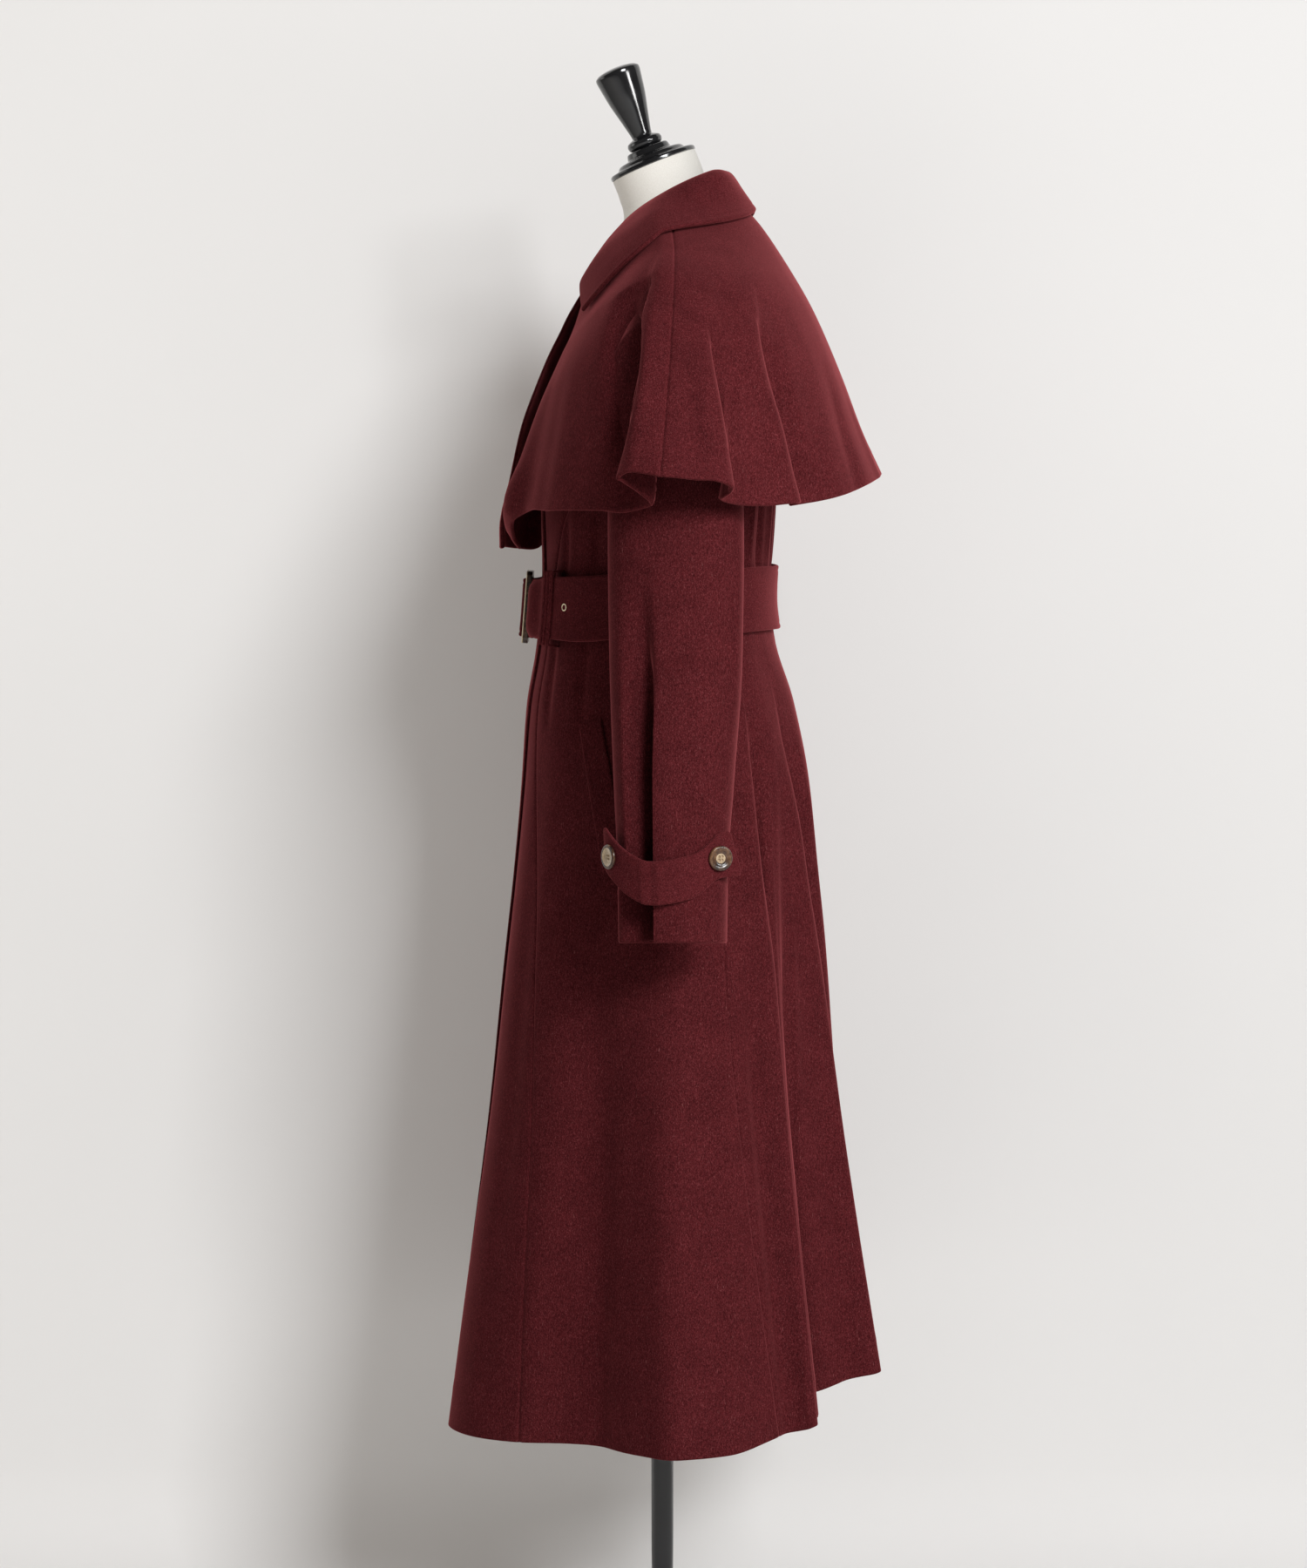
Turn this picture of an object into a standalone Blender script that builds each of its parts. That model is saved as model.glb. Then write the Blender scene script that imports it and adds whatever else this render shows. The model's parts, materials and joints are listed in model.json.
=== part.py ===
"""A belted wool cape coat worn on a limbless dress form.

Frame: +Z up, the coat's front towards -Y, the wearer's left towards +X, origin on the floor under the
pole. Angles run round the body in degrees: 0 at the centre front, 90 at the wearer's left side, 180 at
the centre back, 270 at the wearer's right side. A garment surface is a set of rings from its neck seam
(run 0) to its hem (run 1), pushed in and out by a table of fold crests and valleys that grow to the hem.
Every cloth piece is a patch of such a surface with a wall behind it.
"""
import math
from collections import namedtuple

import bpy
import numpy as np

# ---------------------------------------------------------------- driving dimensions (metres, degrees)
CLOTH = 0.0025            # wall of one layer of napped wool
SEAM_GAP = 0.0003         # clear space between two sewn pieces
TOUCH = 0.0005            # clear space between a piece and what it lies on
FRONT_LAP = 0.030         # each front passes the centre front by this much

BELT_TOP_RUN = 0.3273     # the belt's edges, as places on the coat's run
BELT_BOTTOM_RUN = 0.3727
BELT_THICK = 0.0040
BUCKLE_WIDTH = 0.052
BUCKLE_HEIGHT = 0.072
BUCKLE_SIDE = 0.0080      # the frame's side bars, its top and bottom and the bar in its middle
BUCKLE_RAIL = 0.0050
BUCKLE_BAR = 0.0060
BUCKLE_THICK = 0.0050
BUCKLE_RIM = 0.0012
BUCKLE_LEAN = 4.5         # degrees, its lower edge further forward
KEEPER_ANGLE = 31.5
KEEPER_WIDTH = 0.020
KEEPER_THICK = 0.0020
EYELET_RADIUS = 0.0042
EYELET_WIRE = 0.0011
EYELET_ANGLES = (12.8, 42.0)

STRAP_WIDTH = 0.041
STRAP_THICK = 0.0035
BUTTON_RADIUS = 0.0118
BUTTON_THICK = 0.0032

CAP_CENTRE = (0.0, -0.0088, 1.5380)   # middle of the neck cap's underside
CAP_TILT = 21.8                       # the neck leans forward by this much
CAP_HEIGHT = 0.0190
POLE_RADIUS = 0.0115
BASE_RADIUS = 0.165
BASE_THICK = 0.010
SOCKET_TOP = 0.040
FORM_BOTTOM = 0.800


# ---------------------------------------------------------------- section tables
# run: place from neck seam (0) to hem (1); half: half width at the sides; front, back: reach of the
# centre front and centre back from the pole's axis; z_*: height of the ring at front, side and back;
# pinch: how far the front falls away from an ellipse towards the sides (1 is an ellipse)
Ring = namedtuple("Ring", "name run half front back z_front z_side z_back pinch")
BODY_RINGS = [
    Ring("neck seam",      0.000, 0.0660, 0.0540, 0.0730, 1.4330, 1.4875, 1.4975, 1.00),
    Ring("shoulder in",    0.035, 0.1050, 0.0670, 0.0868, 1.4060, 1.4680, 1.4750, 1.25),
    Ring("shoulder out",   0.075, 0.1500, 0.0810, 0.1005, 1.3720, 1.4430, 1.4360, 1.40),
    Ring("shoulder tip",   0.112, 0.1840, 0.0940, 0.1115, 1.3330, 1.4150, 1.3920, 1.25),
    Ring("arm",            0.160, 0.1890, 0.1050, 0.1168, 1.2980, 1.3620, 1.3425, 1.20),
    Ring("underarm",       0.215, 0.1740, 0.1130, 0.1168, 1.2605, 1.2880, 1.2830, 1.05),
    Ring("rib",            0.275, 0.1570, 0.1190, 0.1130, 1.1990, 1.2130, 1.2070, 1.00),
    Ring("above belt",     0.318, 0.1430, 0.1180, 0.1094, 1.1380, 1.1520, 1.1480, 1.00),
    Ring("waist",          0.350, 0.1400, 0.1200, 0.1080, 1.0980, 1.1150, 1.1100, 1.00),
    Ring("below belt",     0.382, 0.1430, 0.1245, 0.1125, 1.0560, 1.0745, 1.0700, 1.00),
    Ring("high hip",       0.430, 0.1540, 0.1340, 0.1325, 1.0000, 1.0135, 1.0050, 1.00),
    Ring("hip",            0.495, 0.1680, 0.1400, 0.1490, 0.9200, 0.9345, 0.9250, 1.00),
    Ring("thigh",          0.565, 0.1820, 0.1485, 0.1580, 0.8315, 0.8470, 0.8395, 1.00),
    Ring("cuff level",     0.635, 0.1960, 0.1585, 0.1680, 0.7425, 0.7595, 0.7540, 1.00),
    Ring("knee",           0.750, 0.2180, 0.1740, 0.1810, 0.5965, 0.6150, 0.6150, 1.00),
    Ring("calf",           0.870, 0.2410, 0.1950, 0.1995, 0.4410, 0.4615, 0.4740, 1.00),
    Ring("hem",            1.000, 0.2620, 0.2160, 0.2210, 0.2725, 0.2945, 0.3280, 1.00),
]
CAPE_RINGS = [
    Ring("neck seam",      0.000, 0.0690, 0.0630, 0.0775, 1.4410, 1.4920, 1.5010, 1.00),
    Ring("shoulder in",    0.110, 0.1090, 0.0765, 0.0966, 1.4140, 1.4735, 1.4800, 1.25),
    Ring("shoulder out",   0.240, 0.1570, 0.0890, 0.1250, 1.3770, 1.4500, 1.4380, 1.40),
    Ring("shoulder tip",   0.380, 0.2040, 0.1055, 0.1500, 1.3395, 1.4210, 1.3945, 1.18),
    Ring("upper arm",      0.570, 0.2500, 0.1245, 0.1780, 1.2885, 1.3680, 1.3300, 1.00),
    Ring("low",            0.780, 0.2850, 0.1415, 0.1993, 1.2230, 1.2970, 1.2735, 1.00),
    Ring("hem",            1.000, 0.3100, 0.1570, 0.2184, 1.1595, 1.2220, 1.2320, 1.00),
]

# a crest or valley: the angle at which it runs down, where the hem passes there, and the run from
# which it starts to show
Fold = namedtuple("Fold", "name angle x y z start")
SKIRT_FOLDS_LEFT = [
    Fold("front, flat at the lap",    0.0,  0.000, -0.209,  0.272, 0.42),
    Fold("front crest",              20.0,  0.088, -0.213,  0.280, 0.42),
    Fold("front seam",               49.0,  0.166, -0.145,  0.286, 0.42),
    Fold("side front valley",        63.0,  0.182, -0.097,  0.288, 0.50),
    Fold("side rise",                78.0,  0.222, -0.046,  0.291, 0.50),
    Fold("side crest",               95.0,  0.266,  0.018,  0.295, 0.45),
    Fold("side crest, back",        107.5,  0.255,  0.067,  0.297, 0.45),
    Fold("back seam",               120.0,  0.216,  0.113,  0.304, 0.40),
    Fold("fold one, front foot",    126.0,  0.200,  0.133,  0.306, 0.38),
    Fold("fold one, crest",         132.0,  0.195,  0.155,  0.312, 0.36),
    Fold("fold one, turned in",     138.0,  0.160,  0.150,  0.315, 0.36),
    Fold("deep valley",             147.0,  0.112,  0.132,  0.317, 0.36),
    Fold("fold two, foot",          155.0,  0.095,  0.174,  0.328, 0.36),
    Fold("fold two, crest",         166.0,  0.066,  0.221,  0.335, 0.36),
    Fold("centre back valley",      180.0,  0.004,  0.178,  0.326, 0.38),
]
SKIRT_FOLDS_RIGHT = [
    Fold("fold three, crest",       193.0, -0.062,  0.218,  0.334, 0.36),
    Fold("fold three, foot",        205.0, -0.098,  0.167,  0.327, 0.37),
    Fold("back valley",             213.0, -0.124,  0.138,  0.318, 0.38),
    Fold("fold four, turned in",    222.0, -0.166,  0.150,  0.314, 0.38),
    Fold("fold four, crest",        229.0, -0.199,  0.145,  0.313, 0.38),
    Fold("back seam",               240.0, -0.217,  0.108,  0.303, 0.42),
    Fold("side crest, back",        254.0, -0.256,  0.056,  0.297, 0.45),
    Fold("side crest",              268.0, -0.262,  0.002,  0.294, 0.48),
    Fold("side rise",               284.0, -0.216, -0.056,  0.290, 0.50),
    Fold("side front valley",       298.0, -0.186, -0.103,  0.288, 0.48),
    Fold("front seam",              311.0, -0.168, -0.148,  0.286, 0.42),
    Fold("front crest",             338.0, -0.092, -0.210,  0.280, 0.42),
]
CAPE_FOLDS_LEFT = [
    Fold("front edge",                2.0,  0.016, -0.147,  1.157, 0.25),
    Fold("front corner",             10.0,  0.038, -0.152,  1.168, 0.25),
    Fold("front roll",               20.0,  0.074, -0.151,  1.186, 0.25),
    Fold("front roll, side",         30.0,  0.108, -0.134,  1.196, 0.25),
    Fold("front flank",              46.0,  0.172, -0.111,  1.198, 0.25),
    Fold("valley, front wall",       60.0,  0.234, -0.064,  1.199, 0.28),
    Fold("valley, floor",            70.0,  0.262, -0.034,  1.198, 0.28),
    Fold("valley, turned under",     76.0,  0.281, -0.013,  1.204, 0.28),
    Fold("arm crest, under lip",     80.0,  0.298, -0.026,  1.217, 0.28),
    Fold("arm crest, front lip",     84.0,  0.314, -0.044,  1.229, 0.26),
    Fold("arm crest, front",         89.0,  0.330, -0.031,  1.236, 0.24),
    Fold("arm crest",                96.0,  0.339,  0.002,  1.232, 0.25),
    Fold("arm crest, back",         104.0,  0.331,  0.045,  1.228, 0.30),
    Fold("arm crest, back lip",     110.0,  0.310,  0.069,  1.219, 0.40),
    Fold("back arm valley",         117.0,  0.272,  0.071,  1.205, 0.40),
    Fold("back flank",              125.0,  0.244,  0.103,  1.204, 0.35),
    Fold("back crest",              138.0,  0.196,  0.142,  1.207, 0.30),
    Fold("back crest, far side",    148.0,  0.148,  0.165,  1.212, 0.30),
    Fold("back shallow valley",     160.0,  0.088,  0.189,  1.223, 0.40),
    Fold("centre back",             176.0,  0.014,  0.218,  1.232, 0.30),
]
CAPE_FOLDS_RIGHT = [
    Fold("centre back, right",      188.0, -0.046,  0.213,  1.233, 0.30),
    Fold("back shallow valley",     202.0, -0.102,  0.183,  1.222, 0.40),
    Fold("back crest",              218.0, -0.182,  0.151,  1.211, 0.30),
    Fold("back flank",              234.0, -0.240,  0.105,  1.206, 0.35),
    Fold("back arm valley",         244.0, -0.266,  0.070,  1.204, 0.40),
    Fold("arm crest, back lip",     252.0, -0.309,  0.056,  1.220, 0.36),
    Fold("arm crest",               264.0, -0.334,  0.006,  1.232, 0.25),
    Fold("arm crest, front lip",    275.0, -0.320, -0.040,  1.230, 0.26),
    Fold("arm crest, under lip",    280.0, -0.296, -0.032,  1.215, 0.28),
    Fold("valley, turned under",    286.0, -0.276, -0.028,  1.203, 0.28),
    Fold("valley, front wall",      296.0, -0.236, -0.064,  1.198, 0.28),
    Fold("front flank",             312.0, -0.176, -0.113,  1.199, 0.25),
    Fold("front roll, side",        330.0, -0.104, -0.140,  1.194, 0.25),
    Fold("front roll",              342.0, -0.054, -0.157,  1.178, 0.25),
]
# the right cape front laps over the left one and stands further out, all the way up its edge
CAPE_LAP_FOLDS = [
    Fold("far front",               350.0, -0.020, -0.163,  1.163, 0.22),
    Fold("far front edge",          364.0,  0.020, -0.161,  1.158, 0.22),
]
Rise = namedtuple("Rise", "run rise")
CAPE_LAP_RISE = [Rise(0.00, 0.0000), Rise(0.10, 0.0030), Rise(0.24, 0.0110), Rise(0.38, 0.0120),
                 Rise(0.57, 0.0110), Rise(0.78, 0.0050), Rise(1.00, 0.0000)]

# seam lines down the coat: the angle at each run
Seam = namedtuple("Seam", "run front_seam back_seam")
SEAMS = [
    Seam(0.195,  70.2, 109.8),
    Seam(0.245,  52.0, 116.0),
    Seam(0.300,  31.0, 122.0),
    Seam(0.350,  22.0, 124.0),
    Seam(0.420,  22.0, 117.0),
    Seam(0.620,  37.0, 111.0),
    Seam(0.800,  45.0, 115.0),
    Seam(1.000,  50.0, 120.5),
]
ARMHOLE_RUN = 0.165          # middle of the armhole on the run
ARMHOLE_HALF_RUN = 0.053
ARMHOLE_HALF_ANGLE = 24.0

# sleeve tube: centre, half sizes, middle height and how much higher its outer side is than the middle
Tube = namedtuple("Tube", "name place x y half_x half_y z lift")
SLEEVE_TUBES = [
    Tube("cap",      0.10, 0.201, 0.009, 0.0230, 0.0580, 1.333, 0.046),
    Tube("bicep",    0.24, 0.210, 0.009, 0.0400, 0.0610, 1.262, 0.020),
    Tube("arm",      0.42, 0.215, 0.009, 0.0450, 0.0620, 1.169, 0.004),
    Tube("elbow",    0.60, 0.231, 0.009, 0.0470, 0.0608, 1.060, 0.002),
    Tube("forearm",  0.78, 0.248, 0.008, 0.0480, 0.0550, 0.9415, 0.002),
    Tube("wrist",    0.90, 0.256, 0.009, 0.0470, 0.0522, 0.862, 0.004),
    Tube("cuff",     1.00, 0.262, 0.009, 0.0465, 0.0512, 0.792, 0.006),
]
# cuff strap: angle round the sleeve (0 front, 90 outer, 180 back), height of its middle, stand-off
Strap = namedtuple("Strap", "place angle z off")
STRAP_LINE = [
    Strap(0.00,   6.0, 0.8800, 0.0125),
    Strap(0.12,  20.0, 0.8740, 0.0090),
    Strap(0.30,  45.0, 0.8620, 0.0060),
    Strap(0.45,  70.0, 0.8540, 0.0060),
    Strap(0.64, 108.0, 0.8600, 0.0025),
    Strap(0.84, 140.0, 0.8770, 0.0005),
    Strap(1.00, 160.0, 0.8800, 0.0070),
]

# collar at seven places round the neck: the top of its roll, then where its outer edge lies on the cape
# (angle and run there) and how far the middle of its fall stands off the cape
Collar = namedtuple("Collar", "name angle roll_x roll_y roll_z edge_angle edge_run rise")
COLLAR_PLACES = [
    Collar("front",        10.0, 0.0180, -0.0565, 1.4560,  34.0, 0.290, 0.0080),
    Collar("front side",   32.0, 0.0400, -0.0410, 1.4800,  52.0, 0.262, 0.0110),
    Collar("side front",   60.0, 0.0580, -0.0230, 1.5010,  74.0, 0.228, 0.0100),
    Collar("side",         90.0, 0.0640,  0.0040, 1.5200, 100.0, 0.158, 0.0120),
    Collar("back side",   120.0, 0.0560,  0.0320, 1.5310, 131.0, 0.116, 0.0130),
    Collar("back",        150.0, 0.0330,  0.0540, 1.5340, 155.0, 0.088, 0.0130),
    Collar("centre back", 180.0, 0.0000,  0.0625, 1.5335, 180.0, 0.055, 0.0130),
]
COLLAR_OFF = 0.0045          # its outer edge's middle line off the cape

# the dress form below the coat's bodice: half width, reach to front and back, height
Level = namedtuple("Level", "name half front back z")
FORM_LEVELS = [
    Level("waist",    0.118, 0.0990, 0.0895, 1.105),
    Level("belly",    0.128, 0.1080, 0.1010, 1.050),
    Level("high hip", 0.139, 0.1140, 0.1150, 0.995),
    Level("hip",      0.146, 0.1180, 0.1240, 0.940),
    Level("seat",     0.147, 0.1150, 0.1230, 0.880),
    Level("lower",    0.142, 0.1070, 0.1170, 0.835),
    Level("bottom",   0.134, 0.1000, 0.1100, FORM_BOTTOM),
]
# its rings under the bodice: clear space to the cloth at the sides and at the front and back
Under = namedtuple("Under", "run side middle")
FORM_UNDER = [
    Under(0.000, 0.0006, 0.0010), Under(0.025, 0.0006, 0.0020), Under(0.055, 0.0006, 0.0030),
    Under(0.085, 0.0008, 0.0040), Under(0.112, 0.0045, 0.0055), Under(0.143, 0.0080, 0.0070),
    Under(0.168, 0.0100, 0.0075), Under(0.218, 0.0100, 0.0080), Under(0.275, 0.0110, 0.0100),
]
# and its neck: centre, half sizes and lean of each ring, from the cap down
Neck = namedtuple("Neck", "name y z half_x half_y lean")
FORM_NECK = [
    Neck("under the cap", CAP_CENTRE[1], CAP_CENTRE[2], 0.0430, 0.0438, CAP_TILT),
    Neck("middle",        -0.0015, 1.5194, 0.0432, 0.0440, 20.5),
    Neck("foot",           0.0045, 1.4980, 0.0450, 0.0450, 17.0),
]


# ---------------------------------------------------------------- smooth curves and surfaces
class Track:
    """A smooth curve through rows of values that does not overshoot them (monotone cubic)."""

    def __init__(self, places, values):
        self.places = np.asarray(places, float)
        self.values = np.asarray(values, float).reshape(len(places), -1)
        step = np.diff(self.places)[:, None]
        rise = np.diff(self.values, axis=0) / step
        slope = np.zeros_like(self.values)
        slope[0], slope[-1] = rise[0], rise[-1]
        before, after = rise[:-1], rise[1:]
        same = before * after > 0
        weight = np.where(same, before + after, 1.0)
        slope[1:-1] = np.where(same, 2.0 * before * after / weight, 0.0)
        self.slope = slope

    def __call__(self, place):
        place = np.asarray(place, float)
        flat = np.clip(place.ravel(), self.places[0], self.places[-1])
        low = np.clip(np.searchsorted(self.places, flat, side="right") - 1, 0, len(self.places) - 2)
        width = self.places[low + 1] - self.places[low]
        s = ((flat - self.places[low]) / width)[:, None]
        width = width[:, None]
        out = ((1 + 2 * s) * (1 - s) ** 2 * self.values[low]
               + s * (1 - s) ** 2 * width * self.slope[low]
               + s ** 2 * (3 - 2 * s) * self.values[low + 1]
               + s ** 2 * (s - 1) * width * self.slope[low + 1])
        return out.reshape(place.shape + (self.values.shape[1],))


def ease(s):
    """0 to 1 with soft ends."""
    s = np.clip(s, 0.0, 1.0)
    return s * s * (3 - 2 * s)


class Garment:
    """A surface of rings from neck seam to hem, with folds that grow towards the hem."""

    def __init__(self, rings, folds, wraps=True):
        self.rings = Track([r.run for r in rings], [r[2:] for r in rings])
        angles = [f.angle for f in folds]
        pushes = [np.append(np.array([f.x, f.y, f.z]) - self.base(f.angle, 1.0), f.start) for f in folds]
        if wraps:
            angles = [a - 360 for a in angles] + angles + [a + 360 for a in angles]
            pushes = pushes * 3
        self.pushes = Track(angles, pushes)

    def base(self, angle, run):
        half, front, back, z_front, z_side, z_back, pinch = np.moveaxis(self.rings(run), -1, 0)
        turn = np.radians(angle)
        s, c = np.sin(turn), np.cos(turn)
        y = np.where(c > 0, -front * np.abs(c) ** pinch, -back * c)
        z_middle = np.where(c > 0, z_front, z_back)
        return np.stack([half * s, y, z_side * s * s + z_middle * c * c], axis=-1)

    def surface(self, angle, run):
        angle, run = np.broadcast_arrays(np.asarray(angle, float), np.asarray(run, float))
        push = self.pushes(angle)
        start = push[..., 3]
        grown = np.clip((run - start) / (1 - start), 0.0, 1.0) ** 1.25
        return self.base(angle, run) + push[..., :3] * grown[..., None]

    def normal(self, angle, run):
        """The unit outward direction."""
        across = self.surface(angle + 0.4, run) - self.surface(angle - 0.4, run)
        run_up, run_down = np.clip(run - 0.004, 0, 1), np.clip(run + 0.004, 0, 1)
        down = self.surface(angle, run_down) - self.surface(angle, run_up)
        out = np.cross(down, across)
        return out / np.linalg.norm(out, axis=-1, keepdims=True)

    def point(self, angle, run, off=0.0):
        angle, run = np.broadcast_arrays(np.asarray(angle, float), np.asarray(run, float))
        off = np.asarray(off, float)
        return self.surface(angle, run) + self.normal(angle, run) * off[..., None]


COAT = Garment(BODY_RINGS, SKIRT_FOLDS_LEFT + SKIRT_FOLDS_RIGHT)
CAPE = Garment(CAPE_RINGS, CAPE_FOLDS_LEFT + CAPE_FOLDS_RIGHT)
CAPE_OVER = Garment(CAPE_RINGS, CAPE_FOLDS_RIGHT + CAPE_LAP_FOLDS, wraps=False)


# ---------------------------------------------------------------- meshes and objects
COLLECTION = bpy.data.collections.new("cape_coat")


def clear_scene():
    for obj in list(bpy.data.objects):
        bpy.data.objects.remove(obj, do_unlink=True)
    bpy.context.scene.collection.children.link(COLLECTION)


def material(name, colour, roughness, metallic=0.0):
    mat = bpy.data.materials.get(name) or bpy.data.materials.new(name)
    mat.use_nodes = True
    shader = mat.node_tree.nodes["Principled BSDF"]
    shader.inputs["Base Color"].default_value = (*colour, 1.0)
    shader.inputs["Roughness"].default_value = roughness
    shader.inputs["Metallic"].default_value = metallic
    return mat


def wool():
    return material("wool", (0.105, 0.012, 0.018), 0.95)


def lacquer():
    return material("black_lacquer", (0.008, 0.008, 0.009), 0.25)


def gold():
    return material("gold_plate", (0.75, 0.52, 0.24), 0.25, 1.0)


def horn():
    return material("horn", (0.060, 0.028, 0.015), 0.30)


def add_object(name, mesh, mat, smooth_angle=40.0):
    obj = bpy.data.objects.new(name, mesh)
    COLLECTION.objects.link(obj)
    mesh.materials.clear()
    mesh.materials.append(mat)
    mesh.shade_smooth()
    mesh.set_sharp_from_angle(angle=math.radians(smooth_angle))
    return obj


def loft_faces(points, wrap, first=0, flip=False):
    """Triangles over a grid of points, split alike on both sides of the body; wrap closes it across."""
    rows, cols = points.shape[:2]
    faces = []
    for r in range(rows - 1):
        for c in range(cols if wrap else cols - 1):
            d = (c + 1) % cols
            top, low = first + r * cols, first + (r + 1) * cols
            if points[r, c, 0] + points[r, d, 0] >= 0:
                pair = [(top + c, low + c, low + d), (top + c, low + d, top + d)]
            else:
                pair = [(top + c, low + c, top + d), (low + c, low + d, top + d)]
            faces += [t[::-1] for t in pair] if flip else pair
    return faces


def wall(name, outer, inner, mat, wrap=False):
    """A closed solid between two grids of points: a cloth panel, or a tube where wrap is set."""
    rows, cols = outer.shape[:2]
    count = rows * cols
    points = np.concatenate([outer.reshape(-1, 3), inner.reshape(-1, 3)])
    faces = loft_faces(outer, wrap) + loft_faces(outer, wrap, count, flip=True)
    top, foot = list(range(cols))[::-1], [(rows - 1) * cols + c for c in range(cols)]
    if wrap:
        rims = [top + top[:1], foot + foot[:1]]
    else:
        left = [r * cols for r in range(rows)]
        right = [r * cols + cols - 1 for r in reversed(range(rows))]
        rims = [top + left[1:] + foot[1:] + right[1:]]
    for rim in rims:
        faces += [(b, a, count + a, count + b) for a, b in zip(rim, rim[1:])]
    mesh = bpy.data.meshes.new(name)
    mesh.from_pydata(points.tolist(), [], faces)
    return add_object(name, mesh, mat)


def closed_loft(name, rings, mat):
    """A solid through rings of points, with a flat cap at each end."""
    rows, cols = rings.shape[:2]
    faces = loft_faces(rings, True)
    faces.append(tuple(range(cols)))
    faces.append(tuple((rows - 1) * cols + c for c in reversed(range(cols))))
    mesh = bpy.data.meshes.new(name)
    mesh.from_pydata(rings.reshape(-1, 3).tolist(), [], faces)
    return add_object(name, mesh, mat)


def turned(name, profile, mat, steps=32, location=(0, 0, 0), rotation=(0, 0, 0)):
    """A solid of revolution: (radius, height) pairs from the top of the axis down to its foot."""
    mesh = bpy.data.meshes.new(name)
    points = [(r, 0.0, z) for r, z in profile]
    mesh.from_pydata(points, [(i, i + 1) for i in range(len(points) - 1)], [])
    obj = add_object(name, mesh, mat)
    screw = obj.modifiers.new("turn", "SCREW")
    screw.steps = screw.render_steps = steps
    screw.use_merge_vertices = True
    screw.merge_threshold = 0.00005
    screw.use_smooth_shade = True
    obj.location = location
    obj.rotation_euler = rotation
    return obj


# ---------------------------------------------------------------- coat body
COAT_RUNS = [0.0, 0.025, 0.055, 0.085, 0.112, 0.124, 0.143, 0.168, 0.195, 0.218, 0.245, 0.275,
             0.300, 0.3265, 0.350, 0.3735, 0.395, 0.430, 0.475, 0.530, 0.590, 0.650, 0.715, 0.785,
             0.860, 0.930, 1.0]
JOIN_RUN = 0.195             # where the front and back seams leave the armhole
SETTLE_RUN = 0.300           # from here down the side panel's rows are level with its neighbours'
BACK_COLUMNS = 11
SIDE_COLUMNS = 8
seam_track = Track([s.run for s in SEAMS], [s[1:] for s in SEAMS])


def armhole_half_angle(run):
    away = (np.asarray(run) - ARMHOLE_RUN) / ARMHOLE_HALF_RUN
    return ARMHOLE_HALF_ANGLE * np.sqrt(np.clip(1 - away ** 2, 0, 1))


def panel_edge(run, seam_column, side):
    """Angle of a front or back panel's outer edge: shoulder seam, then armhole, then the long seam."""
    if run <= JOIN_RUN - 1e-6:
        return 90.0 + side * float(armhole_half_angle(run))
    return float(seam_track(run)[seam_column])


def inset(angle, run, gap, sense):
    """The angle moved by gap metres along the surface, towards sense."""
    step = COAT.surface(angle + 0.5, run) - COAT.surface(angle - 0.5, run)
    return angle + sense * gap / float(np.linalg.norm(step))


def lap_angle(run):
    """How far round from the centre front the lap of a front reaches, in degrees."""
    step = COAT.surface(0.5, run) - COAT.surface(-0.5, run)
    return FRONT_LAP / float(np.linalg.norm(step))


def spread(low, high, columns):
    return [low + (high - low) * k / (columns - 1) for k in range(columns)]


def turned_over(grid, right):
    """Angles or places of a left piece as those of the right one, still in rising order."""
    return (360.0 - grid)[:, ::-1] if right else grid


def cloth_panel(name, angles, runs, lift=0.0):
    lift = lift + np.zeros_like(angles)
    outer = COAT.point(angles, runs, lift)
    inner = COAT.point(angles, runs, lift - CLOTH)
    return wall(name, outer, inner, wool())


def front_columns(run, edge):
    """Angles across a front: four columns on its lap, which both fronts share, then five to its seam."""
    lap = lap_angle(run)
    return [-lap, -lap / 3, lap / 3] + spread(lap, edge, 6)


def coat_front(side):
    right = side == "right"
    edges = [inset(panel_edge(run, 0, -1), run, SEAM_GAP / 2, -1) for run in COAT_RUNS]
    angles = np.array([front_columns(run, edge) for run, edge in zip(COAT_RUNS, edges)])
    runs = np.array(COAT_RUNS)[:, None] + np.zeros_like(angles)
    lift = np.zeros_like(angles)
    if right:
        lift[:, :4] = CLOTH + TOUCH
    return cloth_panel("coat_front_" + side, turned_over(angles, right), runs, lift[:, ::-1] if right else lift)


def coat_back(side):
    right = side == "right"
    low = [inset(panel_edge(run, 1, 1), run, SEAM_GAP / 2, 1) for run in COAT_RUNS]
    high = [inset(180.0, run, SEAM_GAP / 2, -1) for run in COAT_RUNS]
    angles = np.array([spread(a, b, BACK_COLUMNS) for a, b in zip(low, high)])
    runs = np.array(COAT_RUNS)[:, None] + np.zeros_like(angles)
    return cloth_panel("coat_back_" + side, turned_over(angles, right), runs)


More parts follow.
